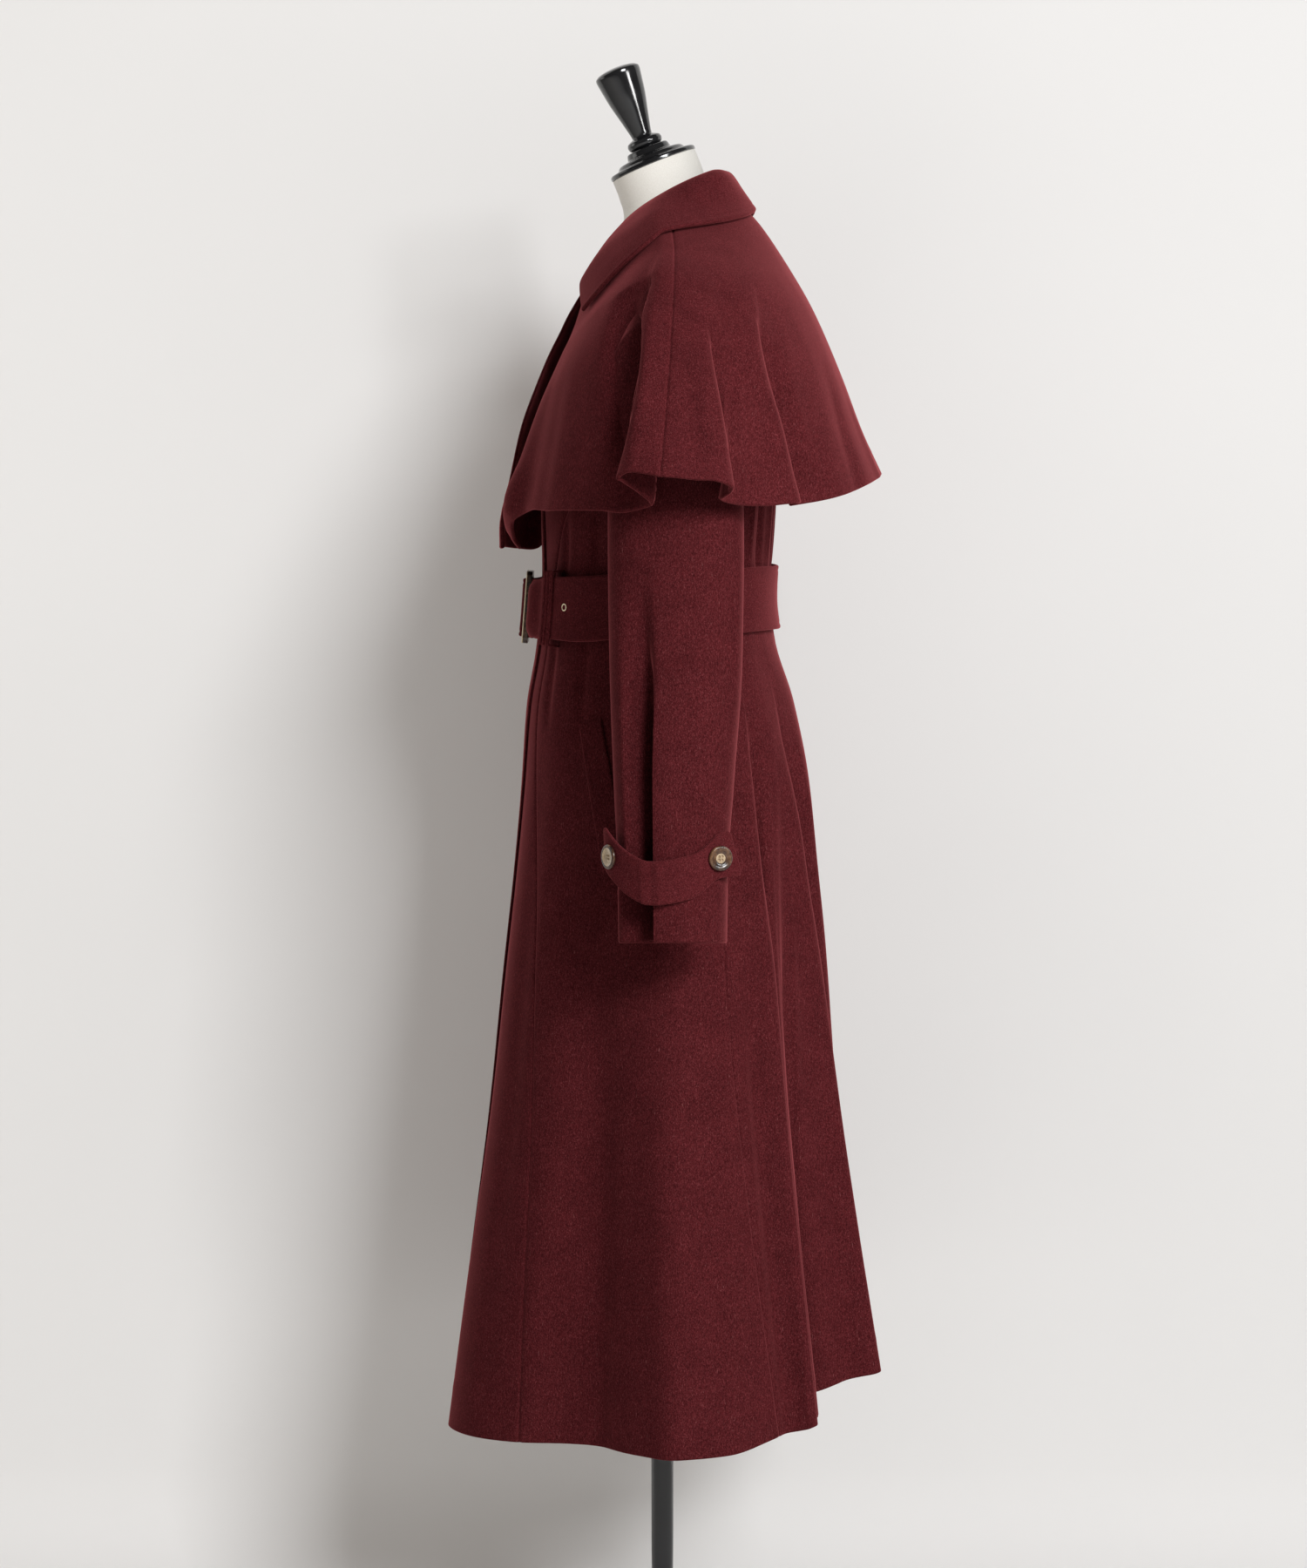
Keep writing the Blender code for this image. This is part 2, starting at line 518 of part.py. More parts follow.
def coat_side(side):
    """The panel under the arm: its top follows the armhole, its rows settle level by SETTLE_RUN."""
    right = side == "right"
    rows = [r for r in COAT_RUNS if r >= JOIN_RUN]
    low = [inset(float(seam_track(r)[0]), r, SEAM_GAP / 2, 1) for r in rows]
    high = [inset(float(seam_track(r)[1]), r, SEAM_GAP / 2, -1) for r in rows]
    angles = np.array([spread(a, b, SIDE_COLUMNS) for a, b in zip(low, high)])
    around = (angles[0] - 90.0) / ARMHOLE_HALF_ANGLE
    top = ARMHOLE_RUN + ARMHOLE_HALF_RUN * np.sqrt(np.clip(1 - around ** 2, 0, 1))
    top[0] = top[-1] = JOIN_RUN
    runs = np.array(rows)[:, None] + np.zeros_like(angles)
    share = np.clip((SETTLE_RUN - runs) / (SETTLE_RUN - JOIN_RUN), 0, 1)
    runs = runs + share * (top - JOIN_RUN)
    if right:
        runs = runs[:, ::-1]
    return cloth_panel("coat_side_" + side, turned_over(angles, right), runs)


# the pocket welt lies on the side panel: its front edge's angle and run at its top and its foot
WELT_TOP = (51.5, 0.455)
WELT_FOOT = (60.0, 0.605)
WELT_ACROSS = 9.2            # degrees
WELT_THICK = 0.0022


def pocket_welt(side):
    right = side == "right"
    down = np.linspace(0, 1, 7)[:, None]
    across = np.array([[0.0, 0.5, 1.0]])
    angles = WELT_TOP[0] + (WELT_FOOT[0] - WELT_TOP[0]) * down + WELT_ACROSS * across
    runs = WELT_TOP[1] + (WELT_FOOT[1] - WELT_TOP[1]) * down - 0.004 * across
    if right:
        runs = runs[:, ::-1]
    angles = turned_over(angles, right)
    outer = COAT.point(angles, runs, TOUCH + WELT_THICK + 0 * runs)
    inner = COAT.point(angles, runs, TOUCH + 0 * runs)
    return wall("pocket_welt_" + side, outer, inner, wool())


# ---------------------------------------------------------------- sleeves, cuff straps and buttons
tube_track = Track([t.place for t in SLEEVE_TUBES], [t[2:] for t in SLEEVE_TUBES])
strap_track = Track([s.place for s in STRAP_LINE], [s[1:] for s in STRAP_LINE])
SLEEVE_PLACES = [0.10, 0.17, 0.25, 0.34, 0.43, 0.53, 0.63, 0.73, 0.82, 0.90, 0.95, 1.0]
SLEEVE_COLUMNS = 18
SLEEVE_SEAT = 1.07           # the sleeve's edge ring against the armhole's size
BUTTON_PLACES = {"front": 0.12, "back": 0.84}
BUTTON_OFF = {"front": 0.0004, "back": 0.0013}   # it touches the bent strap at its edges first


def tube_ring(place, turns, off=0.0):
    x, y, half_x, half_y, z, lift = tube_track(place)
    s, c = np.sin(np.radians(turns)), np.cos(np.radians(turns))
    return np.stack([x + (half_x + off) * s, y - (half_y + off) * c, z + lift * s], axis=-1)


def armhole_ring(turns, scale, off):
    """Points round the armhole on the coat's surface; turn 90 is the shoulder, 270 the underarm."""
    s, c = np.sin(np.radians(turns)), np.cos(np.radians(turns))
    angles = 90.0 - ARMHOLE_HALF_ANGLE * scale * c
    runs = ARMHOLE_RUN - ARMHOLE_HALF_RUN * scale * s
    return COAT.point(angles, runs, off)


def mirrored(grid, right):
    """The grid on the wearer's right, with its columns turned so that it still faces out."""
    return grid[:, ::-1] * np.array([-1.0, 1.0, 1.0]) if right else grid


def sleeve(side):
    turns = np.arange(SLEEVE_COLUMNS) * 360.0 / SLEEVE_COLUMNS
    edge_out = armhole_ring(turns, SLEEVE_SEAT + 0.045, 2 * TOUCH)
    edge_in = armhole_ring(turns, SLEEVE_SEAT, 2 * TOUCH)
    outer = np.array([edge_out] + [tube_ring(p, turns) for p in SLEEVE_PLACES])
    inner = np.array([edge_in] + [tube_ring(p, turns, -CLOTH) for p in SLEEVE_PLACES])
    right = side == "right"
    return wall("sleeve_" + side, mirrored(outer, right), mirrored(inner, right), wool(), wrap=True)


def strap_point(place, across, off):
    """A point on the cuff strap: place along it, across from -0.5 to 0.5, off its inner face."""
    turn, z, stand = strap_track(place)
    z = z + across * STRAP_WIDTH
    low = [t for t in reversed(SLEEVE_TUBES)][:3]
    down = np.interp(z, [t.z for t in low], [t.place for t in low])
    x, y, half_x, half_y = tube_track(down)[:4]
    s, c = math.sin(math.radians(turn)), math.cos(math.radians(turn))
    return np.array([x + (half_x + stand + off) * s, y - (half_y + stand + off) * c, z])


def cuff_strap(side):
    places = np.linspace(0, 1, 15)
    edges = (0.5, 0.0, -0.5)
    lows = np.array([[strap_point(p, e, 0.0) for p in places] for e in edges])
    highs = np.array([[strap_point(p, e, STRAP_THICK) for p in places] for e in edges])
    right = side == "right"
    return wall("cuff_strap_" + side, mirrored(highs, right), mirrored(lows, right), wool())


def cuff_button(side, label):
    """A turned horn button, square to the strap where it is sewn."""
    place = BUTTON_PLACES[label]
    base = strap_point(place, 0.0, STRAP_THICK)
    along = strap_point(place + 0.04, 0.0, STRAP_THICK) - strap_point(place - 0.04, 0.0, STRAP_THICK)
    away = np.cross(along, [0.0, 0.0, 1.0])
    away /= np.linalg.norm(away)
    base = base + away * BUTTON_OFF[label]
    if side == "right":
        base, away = base * [-1, 1, 1], away * [-1, 1, 1]
    rim = BUTTON_RADIUS
    profile = [(0.0, 0.0018), (0.0062, 0.0018), (0.0085, BUTTON_THICK), (rim - 0.0015, BUTTON_THICK),
               (rim, 0.0018), (rim - 0.0012, 0.0), (0.0, 0.0)]
    yaw = math.atan2(away[1], away[0])
    return turned("cuff_button_" + label + "_" + side, profile, horn(), 18, base, (0.0, math.pi / 2, yaw))


# ---------------------------------------------------------------- cape and collar
CAPE_RUNS = [0.0, 0.07, 0.15, 0.24, 0.34, 0.45, 0.57, 0.70, 0.84, 0.93, 1.0]
CAPE_SHOULDER = 95.0          # the cape's shoulder seams, off the centre front by this on each side
CAPE_SEAM_GAP = 0.06          # half the clear space at those seams, in degrees
rise_track = Track([r.run for r in CAPE_LAP_RISE], [r.rise for r in CAPE_LAP_RISE])


def fold_columns(folds, first, last):
    """Angles across a cape piece: its edges, every crest and valley between them and the middles."""
    inside = [f.angle for f in folds if first + 3.0 < f.angle < last - 3.0]
    marks = [first] + inside + [last]
    middles = [(a + b) / 2 for a, b in zip(marks, marks[1:])]
    return sorted(marks + middles)


def left_edge(run):
    """Angle of the left cape front's free edge."""
    return 1.2 + 0.8 * run


def right_edge(run):
    """Angle of the right cape front's free edge, which laps over the left one lower down."""
    return 359.9 + 4.1 * float(ease((run - 0.35) / 0.65))


def lap_rise(angle, run):
    """How far the right front stands off the cape's surface near its free edge."""
    return rise_track(run)[..., 0] * ease((angle - 320.0) / 28.0)


def cape_panel(name, columns, garment, first=None, last=None, over=False):
    angles = np.array(columns)[None, :] + np.zeros((len(CAPE_RUNS), 1))
    if first:
        angles[:, 0] = [first(r) for r in CAPE_RUNS]
    if last:
        angles[:, -1] = [last(r) for r in CAPE_RUNS]
    runs = np.array(CAPE_RUNS)[:, None] + np.zeros_like(angles)
    lift = lap_rise(angles, runs) if over else np.zeros_like(angles)
    return wall(name, garment.point(angles, runs, lift), garment.point(angles, runs, lift - CLOTH), wool())


def cape():
    seam_left, seam_right = CAPE_SHOULDER, 360.0 - CAPE_SHOULDER
    gap = CAPE_SEAM_GAP
    around = CAPE_FOLDS_LEFT + CAPE_FOLDS_RIGHT
    cape_panel("cape_front_left", fold_columns(around, 2.0, seam_left - gap), CAPE, first=left_edge)
    cape_panel("cape_back", fold_columns(around, seam_left + gap, seam_right - gap), CAPE)
    right = fold_columns(CAPE_FOLDS_RIGHT + CAPE_LAP_FOLDS, seam_right + gap, 364.0)
    cape_panel("cape_front_right", right, CAPE_OVER, last=right_edge, over=True)


collar_track = Track([c.angle for c in COLLAR_PLACES], [c[2:] for c in COLLAR_PLACES])
COLLAR_COLUMNS = 35
COLLAR_NECK = (0.978, 0.978, 1.0)      # its seam runs this much inside the cape's neck edge
COLLAR_CLEAR = 0.0008


def collar_section(angle):
    """Middle line of the collar at one place: up the stand, over the roll and down the fall."""
    side = 1.0 if angle <= 180.0 else -1.0
    place = 180.0 - abs(180.0 - angle)
    row = collar_track(place)
    roll, edge_angle, edge_run, rise = row[:3], row[3], row[4], row[5]
    seam = CAPE.base(place, 0.0) * COLLAR_NECK + [0.0, 0.0, COLLAR_CLEAR]
    edge = CAPE.point(edge_angle, edge_run, COLLAR_OFF)
    middle = CAPE.point((place + edge_angle) / 2, edge_run / 2, rise)
    out = (edge - roll) * [1.0, 1.0, 0.0]
    out /= np.linalg.norm(out)
    up = np.array([0.0, 0.0, 1.0])
    fold = 0.0040
    top = roll - up * CLOTH / 2
    shoulder = top + out * fold - up * 0.0016
    fall = Track([0.0, 0.5, 1.0], [shoulder, middle, edge])
    line = [seam, seam + (top - out * fold - up * fold - seam) * 0.55, top - out * fold - up * fold,
            top - up * 0.0004, shoulder, fall(0.22), fall(0.48), fall(0.74), edge]
    return np.array(line) * [side, 1.0, 1.0]


def collar():
    ends = COLLAR_PLACES[0].angle
    angles = np.linspace(ends, 360.0 - ends, COLLAR_COLUMNS)
    middle = np.array([collar_section(a) for a in angles]).transpose(1, 0, 2)
    normal = np.cross(np.gradient(middle, axis=0), np.gradient(middle, axis=1))
    normal /= np.linalg.norm(normal, axis=-1, keepdims=True)
    return wall("collar", middle + normal * CLOTH * 0.5, middle - normal * CLOTH * 0.5, wool())


# ---------------------------------------------------------------- belt, buckle, keeper and eyelets
# the belt winds once round and its free end laps over its start, which lies under the buckle
BELT_START_COLUMNS = [4.0, 6.8, 11.0, 16.0, 23.5, 31.0, 39.0, 47.0]
BELT_ROUND_COLUMNS = [55.0 + 7.8 * k for k in range(38)]
BELT_FRONT_COLUMNS = [348.0, 353.4, 356.5, 358.7, 361.3, 363.5]
BELT_UNDER = TOUCH + CLOTH + TOUCH             # the belt's inner face clears the lapped fronts
BELT_OVER = BELT_UNDER + BELT_THICK + TOUCH    # and there lies on the belt's own start
BUCKLE_UNDER = BELT_OVER + BELT_THICK + TOUCH  # the frame lies on the free end
BAR_OVER = BUCKLE_UNDER + BUCKLE_THICK + TOUCH
belt_track = Track([4.0, 342.0, 348.0, 353.4, 358.7, 361.3, 366.8, 407.0],
                   [BELT_UNDER, BELT_UNDER, BELT_UNDER + 0.001, BELT_OVER, BAR_OVER, BAR_OVER, BELT_OVER, BELT_OVER])


def belt_point(angle, across, off):
    """A point over the coat at the belt: across 0 is the belt's upper edge, 1 its lower one."""
    run = BELT_TOP_RUN + (BELT_BOTTOM_RUN - BELT_TOP_RUN) * across
    return COAT.point(angle, run, off)


def belt():
    ends = [c + 360.0 for c in BELT_START_COLUMNS[1:]]
    angles = BELT_START_COLUMNS + BELT_ROUND_COLUMNS + BELT_FRONT_COLUMNS + ends
    rows = (0.0, 0.5, 1.0)
    offs = [float(belt_track(a)[0]) for a in angles]
    inner = np.array([[belt_point(a, r, o) for a, o in zip(angles, offs)] for r in rows])
    outer = np.array([[belt_point(a, r, o + BELT_THICK) for a, o in zip(angles, offs)] for r in rows])
    return wall("belt", outer, inner, wool())


def rounded_corners(width, height, radius, x=0.0):
    corners = []
    for quadrant in range(4):
        cx = x + (width / 2 - radius) * (1 if quadrant in (0, 3) else -1)
        cz = (height / 2 - radius) * (1 if quadrant in (0, 1) else -1)
        for step in range(4):
            a = math.radians(90 * quadrant + 30 * step)
            corners.append((cx + radius * math.cos(a), cz + radius * math.sin(a)))
    return corners


def flat_frame(name, outlines, thick, mat, location):
    """A flat plate with windows, given as outlines, that stands up facing the front and leans back."""
    curve = bpy.data.curves.new(name, "CURVE")
    curve.dimensions = "2D"
    curve.fill_mode = "BOTH"
    curve.extrude = thick / 2
    for corners in outlines:
        spline = curve.splines.new("POLY")
        spline.points.add(len(corners) - 1)
        for point, (x, z) in zip(spline.points, corners):
            point.co = (x, z, 0.0, 1.0)
        spline.use_cyclic_u = True
    obj = bpy.data.objects.new(name, curve)
    COLLECTION.objects.link(obj)
    curve.materials.append(mat)
    obj.location = location
    obj.rotation_euler = (math.radians(90 - BUCKLE_LEAN), 0.0, 0.0)
    return obj


def buckle():
    """A frame with a bar in its middle, and a thin gold rim on its front."""
    middle = belt_point(0.0, 0.5, 0.0)
    lean = math.radians(BUCKLE_LEAN)
    away = np.array([0.0, -math.cos(lean), math.sin(lean)])
    window = (BUCKLE_WIDTH - 2 * BUCKLE_SIDE - BUCKLE_BAR) / 2
    shift = (window + BUCKLE_BAR) / 2
    tall = BUCKLE_HEIGHT - 2 * BUCKLE_RAIL
    frame = [rounded_corners(BUCKLE_WIDTH, BUCKLE_HEIGHT, 0.006), rounded_corners(window, tall, 0.002, -shift),
             rounded_corners(window, tall, 0.002, shift)]
    flat_frame("buckle_frame", frame, BUCKLE_THICK, horn(), middle + away * (BUCKLE_UNDER + BUCKLE_THICK / 2))
    rim = [rounded_corners(BUCKLE_WIDTH, BUCKLE_HEIGHT, 0.006),
           rounded_corners(BUCKLE_WIDTH - 0.006, BUCKLE_HEIGHT - 0.006, 0.004)]
    front = BUCKLE_UNDER + BUCKLE_THICK + SEAM_GAP + BUCKLE_RIM / 2
    flat_frame("buckle_rim", rim, BUCKLE_RIM, gold(), middle + away * front)


def keeper():
    """A short loop over both layers of the belt, its ends turned down to the coat."""
    low = 2 * TOUCH
    high = BELT_OVER + BELT_THICK + TOUCH
    past, skin = 0.075, 0.035
    half = math.degrees(KEEPER_WIDTH / 2 / 0.145)
    under = [(-past, low), (-past, high), (0.5, high), (1 + past, high), (1 + past, low)]
    over = [(-past - skin, low), (-past - skin, high + KEEPER_THICK), (0.5, high + KEEPER_THICK),
            (1 + past + skin, high + KEEPER_THICK), (1 + past + skin, low)]
    grids = []
    for line in (over, under):
        grids.append(np.array([[belt_point(KEEPER_ANGLE + a, across, off) for a in (-half, 0.0, half)]
                               for across, off in line]))
    return wall("belt_keeper", grids[0], grids[1], wool())


def eyelets():
    for number, angle in enumerate(EYELET_ANGLES, 1):
        off = BELT_OVER + BELT_THICK + TOUCH + EYELET_WIRE
        away = COAT.normal(np.array(angle), np.array((BELT_TOP_RUN + BELT_BOTTOM_RUN) / 2))
        bpy.ops.mesh.primitive_torus_add(major_radius=EYELET_RADIUS, minor_radius=EYELET_WIRE,
                                         major_segments=16, minor_segments=6)
        obj = bpy.context.object
        bpy.context.collection.objects.unlink(obj)
        obj.name = "eyelet_" + str(number)
        COLLECTION.objects.link(obj)
        obj.data.materials.append(gold())
        obj.location = belt_point(angle, 0.5, off)
        obj.rotation_euler = (0.0, math.acos(away[2]), math.atan2(away[1], away[0]))


# ---------------------------------------------------------------- dress form and stand
def form_columns(run):
    """Angles round the form: those of the coat panels that lie on it."""
    lap = lap_angle(run)
    half = [0.0, lap / 3] + spread(lap, 90.0, 6) + spread(90.0, 180.0, BACK_COLUMNS)[1:]
    return np.array(half + [360.0 - a for a in reversed(half[1:-1])])


def neck_ring(row, turns):
    """An ellipse whose plane faces up and leans to the front."""
    lean = math.radians(row.lean)
    reach = -row.half_y * np.cos(np.radians(turns))
    across = row.half_x * np.sin(np.radians(turns))
    return np.stack([across, row.y + reach * math.cos(lean), row.z + reach * math.sin(lean)], axis=-1)


def form_body():
    rings = [neck_ring(row, form_columns(0.0)) for row in FORM_NECK]
    for row in FORM_UNDER:
        turns = form_columns(row.run)
        gap = row.side + (row.middle - row.side) * np.cos(np.radians(turns)) ** 2
        rings.append(COAT.point(turns, row.run, -(CLOTH + gap)))
    for row in FORM_LEVELS:
        s, c = np.sin(np.radians(turns)), np.cos(np.radians(turns))
        reach = np.where(c > 0, row.front, row.back)
        rings.append(np.stack([row.half * s, -reach * c, row.z + 0 * s], axis=-1))
    return closed_loft("form_body", np.array(rings), material("form_cloth", (0.80, 0.77, 0.70), 0.85))


def neck_cap():
    """The stepped cap that closes the neck with its knob, turned as one and square to the leaning neck."""
    lean = math.radians(CAP_TILT)
    up = np.array([0.0, -math.sin(lean), math.cos(lean)])
    top = CAP_HEIGHT
    knob = [(0.0, 0.0847), (0.0120, 0.0840), (0.0196, 0.0820), (0.0228, 0.0795), (0.0230, 0.0760),
            (0.0192, 0.0520), (0.0143, 0.0320), (0.0106, 0.0160), (0.0101, 0.0122), (0.0140, 0.0104),
            (0.0170, 0.0088), (0.0180, 0.0055), (0.0170, 0.0022), (0.0140, 0.0)]
    cap = [(0.0200, top), (0.0213, top - 0.0010), (0.0228, 0.0122), (0.0325, 0.0105), (0.0343, 0.0085),
           (0.0358, 0.0062), (0.0435, 0.0050), (0.0447, 0.0035), (0.0447, 0.0), (0.0, 0.0)]
    profile = [(r, z + top) for r, z in knob] + cap
    turned("neck_cap", profile, lacquer(), 32, np.array(CAP_CENTRE) + up * SEAM_GAP, (lean, 0.0, 0.0))


def stand():
    top, foot = FORM_BOTTOM - SEAM_GAP, SOCKET_TOP + SEAM_GAP
    turned("pole", [(0.0, top), (POLE_RADIUS, top), (POLE_RADIUS, foot), (0.0, foot)], lacquer(), 24)
    base = [(0.0, SOCKET_TOP), (0.0190, SOCKET_TOP), (0.0200, SOCKET_TOP - 0.002),
            (0.0220, BASE_THICK + 0.006), (0.0300, BASE_THICK), (BASE_RADIUS - 0.010, BASE_THICK - 0.002),
            (BASE_RADIUS - 0.002, BASE_THICK - 0.005), (BASE_RADIUS, 0.002), (BASE_RADIUS - 0.002, 0.0),
            (0.0, 0.0)]
    turned("base_plate", base, lacquer(), 36)


# ---------------------------------------------------------------- assembly
def build():
    clear_scene()
    for side in ("left", "right"):
        coat_front(side)
        coat_side(side)
        coat_back(side)
        pocket_welt(side)
        sleeve(side)
        cuff_strap(side)
        cuff_button(side, "front")
        cuff_button(side, "back")
    cape()
    collar()
    belt()
    buckle()
    keeper()
    eyelets()
    form_body()
    neck_cap()
    stand()


build()
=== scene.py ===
"""Looks of the belted wool cape coat on its limbless dress form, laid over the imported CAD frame.

Frame: +Z up, the coat's front towards -Y, the wearer's left towards +X, metres. The cloth pieces follow the
same rings, fold tables and named sizes as the CAD source, finer, with seams, turn-ups, creases and rolled edges.
"""
import json
import math
from collections import namedtuple

import bpy
import numpy as np
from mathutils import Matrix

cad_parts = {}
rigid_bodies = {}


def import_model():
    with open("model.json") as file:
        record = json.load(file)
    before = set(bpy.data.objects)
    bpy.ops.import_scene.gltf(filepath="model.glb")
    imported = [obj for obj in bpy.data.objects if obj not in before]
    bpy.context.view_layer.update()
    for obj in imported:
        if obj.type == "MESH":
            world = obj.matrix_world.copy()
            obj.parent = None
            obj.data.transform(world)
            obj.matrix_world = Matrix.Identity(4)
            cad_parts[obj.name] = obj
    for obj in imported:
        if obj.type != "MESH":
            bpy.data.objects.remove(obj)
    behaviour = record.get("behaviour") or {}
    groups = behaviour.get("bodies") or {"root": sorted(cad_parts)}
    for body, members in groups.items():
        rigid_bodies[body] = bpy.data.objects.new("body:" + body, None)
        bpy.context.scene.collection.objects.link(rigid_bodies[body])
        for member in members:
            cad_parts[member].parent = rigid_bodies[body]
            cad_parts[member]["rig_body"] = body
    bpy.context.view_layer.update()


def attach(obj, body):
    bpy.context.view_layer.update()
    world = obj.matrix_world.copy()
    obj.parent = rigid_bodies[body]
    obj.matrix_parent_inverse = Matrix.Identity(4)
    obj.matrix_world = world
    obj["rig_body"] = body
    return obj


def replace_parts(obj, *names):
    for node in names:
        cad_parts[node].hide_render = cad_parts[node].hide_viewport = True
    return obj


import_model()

# ---------------------------------------------------------------- sizes (metres, degrees)
CLOTH = 0.0025            # one layer of napped wool
TOUCH = 0.0005            # the gap between pieces that lie on each other
TURN_UP = 0.040           # depth of the turned-up hems
TURN_UP_THICK = 0.0040    # the doubled cloth there
EDGE_ROUND = 0.0016       # how far in a cut edge is rounded
FRONT_LAP = 0.030         # how far each front reaches past the centre front

BELT_TOP_RUN = 0.3273
BELT_BOTTOM_RUN = 0.3727
BELT_THICK = 0.0040
BUCKLE_WIDTH = 0.052
BUCKLE_HEIGHT = 0.072
BUCKLE_SIDE = 0.0080
BUCKLE_RAIL = 0.0050
BUCKLE_BAR = 0.0060
BUCKLE_THICK = 0.0050
BUCKLE_RIM = 0.0012
BUCKLE_LEAN = 4.5         # back from upright
KEEPER_ANGLE = 31.5
KEEPER_WIDTH = 0.020
KEEPER_THICK = 0.0016
RIB_HEIGHT = 0.0009
EYELET_RADIUS = 0.0032
EYELET_WIRE = 0.0006
EYELET_ANGLES = (12.8, 43.5)

STRAP_WIDTH = 0.041
STRAP_THICK = 0.0035
BUTTON_RADIUS = 0.0118
BUTTON_THICK = 0.0032

CAP_CENTRE = (0.0, -0.0088, 1.5380)
CAP_TILT = 21.8
CAP_HEIGHT = 0.0190
POLE_RADIUS = 0.0115
BASE_RADIUS = 0.165
BASE_THICK = 0.010
SOCKET_TOP = 0.040
FORM_BOTTOM = 0.800

# ---------------------------------------------------------------- section tables, as in the CAD source
Ring = namedtuple("Ring", "run half front back z_front z_side z_back pinch")
BODY_RINGS = [Ring(*row) for row in (
    (0.000, 0.0660, 0.0540, 0.0730, 1.4330, 1.4875, 1.4975, 1.00),  # neck seam
    (0.035, 0.1050, 0.0670, 0.0868, 1.4060, 1.4680, 1.4750, 1.25),  # shoulder in
    (0.075, 0.1500, 0.0810, 0.1005, 1.3720, 1.4430, 1.4360, 1.40),  # shoulder out
    (0.112, 0.1840, 0.0940, 0.1115, 1.3330, 1.4150, 1.3920, 1.25),  # shoulder tip
    (0.160, 0.1890, 0.1050, 0.1168, 1.2980, 1.3620, 1.3425, 1.20),  # arm
    (0.215, 0.1740, 0.1130, 0.1168, 1.2605, 1.2880, 1.2830, 1.05),  # underarm
    (0.275, 0.1570, 0.1190, 0.1130, 1.1990, 1.2130, 1.2070, 1.00),  # rib
    (0.318, 0.1430, 0.1180, 0.1094, 1.1380, 1.1520, 1.1480, 1.00),  # above belt
    (0.350, 0.1400, 0.1200, 0.1080, 1.0980, 1.1150, 1.1100, 1.00),  # waist
    (0.382, 0.1430, 0.1245, 0.1125, 1.0560, 1.0745, 1.0700, 1.00),  # below belt
    (0.430, 0.1540, 0.1340, 0.1325, 1.0000, 1.0135, 1.0050, 1.00),  # high hip
    (0.495, 0.1680, 0.1400, 0.1490, 0.9200, 0.9345, 0.9250, 1.00),  # hip
    (0.565, 0.1820, 0.1485, 0.1580, 0.8315, 0.8470, 0.8395, 1.00),  # thigh
    (0.635, 0.1960, 0.1585, 0.1680, 0.7425, 0.7595, 0.7540, 1.00),  # cuff level
    (0.750, 0.2180, 0.1740, 0.1810, 0.5965, 0.6150, 0.6150, 1.00),  # knee
    (0.870, 0.2410, 0.1950, 0.1995, 0.4410, 0.4615, 0.4740, 1.00),  # calf
    (1.000, 0.2620, 0.2160, 0.2210, 0.2725, 0.2945, 0.3280, 1.00),  # hem
)]
CAPE_RINGS = [Ring(*row) for row in (
    (0.000, 0.0690, 0.0630, 0.0775, 1.4410, 1.4920, 1.5010, 1.00),  # neck seam
    (0.110, 0.1090, 0.0765, 0.0966, 1.4140, 1.4735, 1.4800, 1.25),  # shoulder in
    (0.240, 0.1570, 0.0890, 0.1250, 1.3770, 1.4500, 1.4380, 1.40),  # shoulder out
    (0.380, 0.2040, 0.1055, 0.1500, 1.3395, 1.4210, 1.3945, 1.18),  # shoulder tip
    (0.570, 0.2500, 0.1245, 0.1780, 1.2885, 1.3680, 1.3300, 1.00),  # upper arm
    (0.780, 0.2850, 0.1415, 0.1993, 1.2230, 1.2970, 1.2735, 1.00),  # low
    (1.000, 0.3100, 0.1570, 0.2184, 1.1595, 1.2220, 1.2320, 1.00),  # hem
)]

Fold = namedtuple("Fold", "angle x y z start")
SKIRT_FOLDS_LEFT = [Fold(*row) for row in (
    (  0.0, 0.000, -0.209, 0.272, 0.42),  # front, flat at the lap
    ( 20.0, 0.088, -0.213, 0.280, 0.42),  # front crest
    ( 49.0, 0.166, -0.145, 0.286, 0.42),  # front seam
    ( 63.0, 0.182, -0.097, 0.288, 0.50),  # side front valley
    ( 78.0, 0.222, -0.046, 0.291, 0.50),  # side rise
    ( 95.0, 0.266,  0.018, 0.295, 0.45),  # side crest
    (107.5, 0.255,  0.067, 0.297, 0.45),  # side crest, back
    (120.0, 0.216,  0.113, 0.304, 0.40),  # back seam
    (126.0, 0.200,  0.133, 0.306, 0.38),  # fold one, front foot
    (132.0, 0.195,  0.155, 0.312, 0.36),  # fold one, crest
    (138.0, 0.160,  0.150, 0.315, 0.36),  # fold one, turned in
    (147.0, 0.112,  0.132, 0.317, 0.36),  # deep valley
    (155.0, 0.095,  0.174, 0.328, 0.36),  # fold two, foot
    (166.0, 0.066,  0.221, 0.335, 0.36),  # fold two, crest
    (180.0, 0.004,  0.178, 0.326, 0.38),  # centre back valley
)]
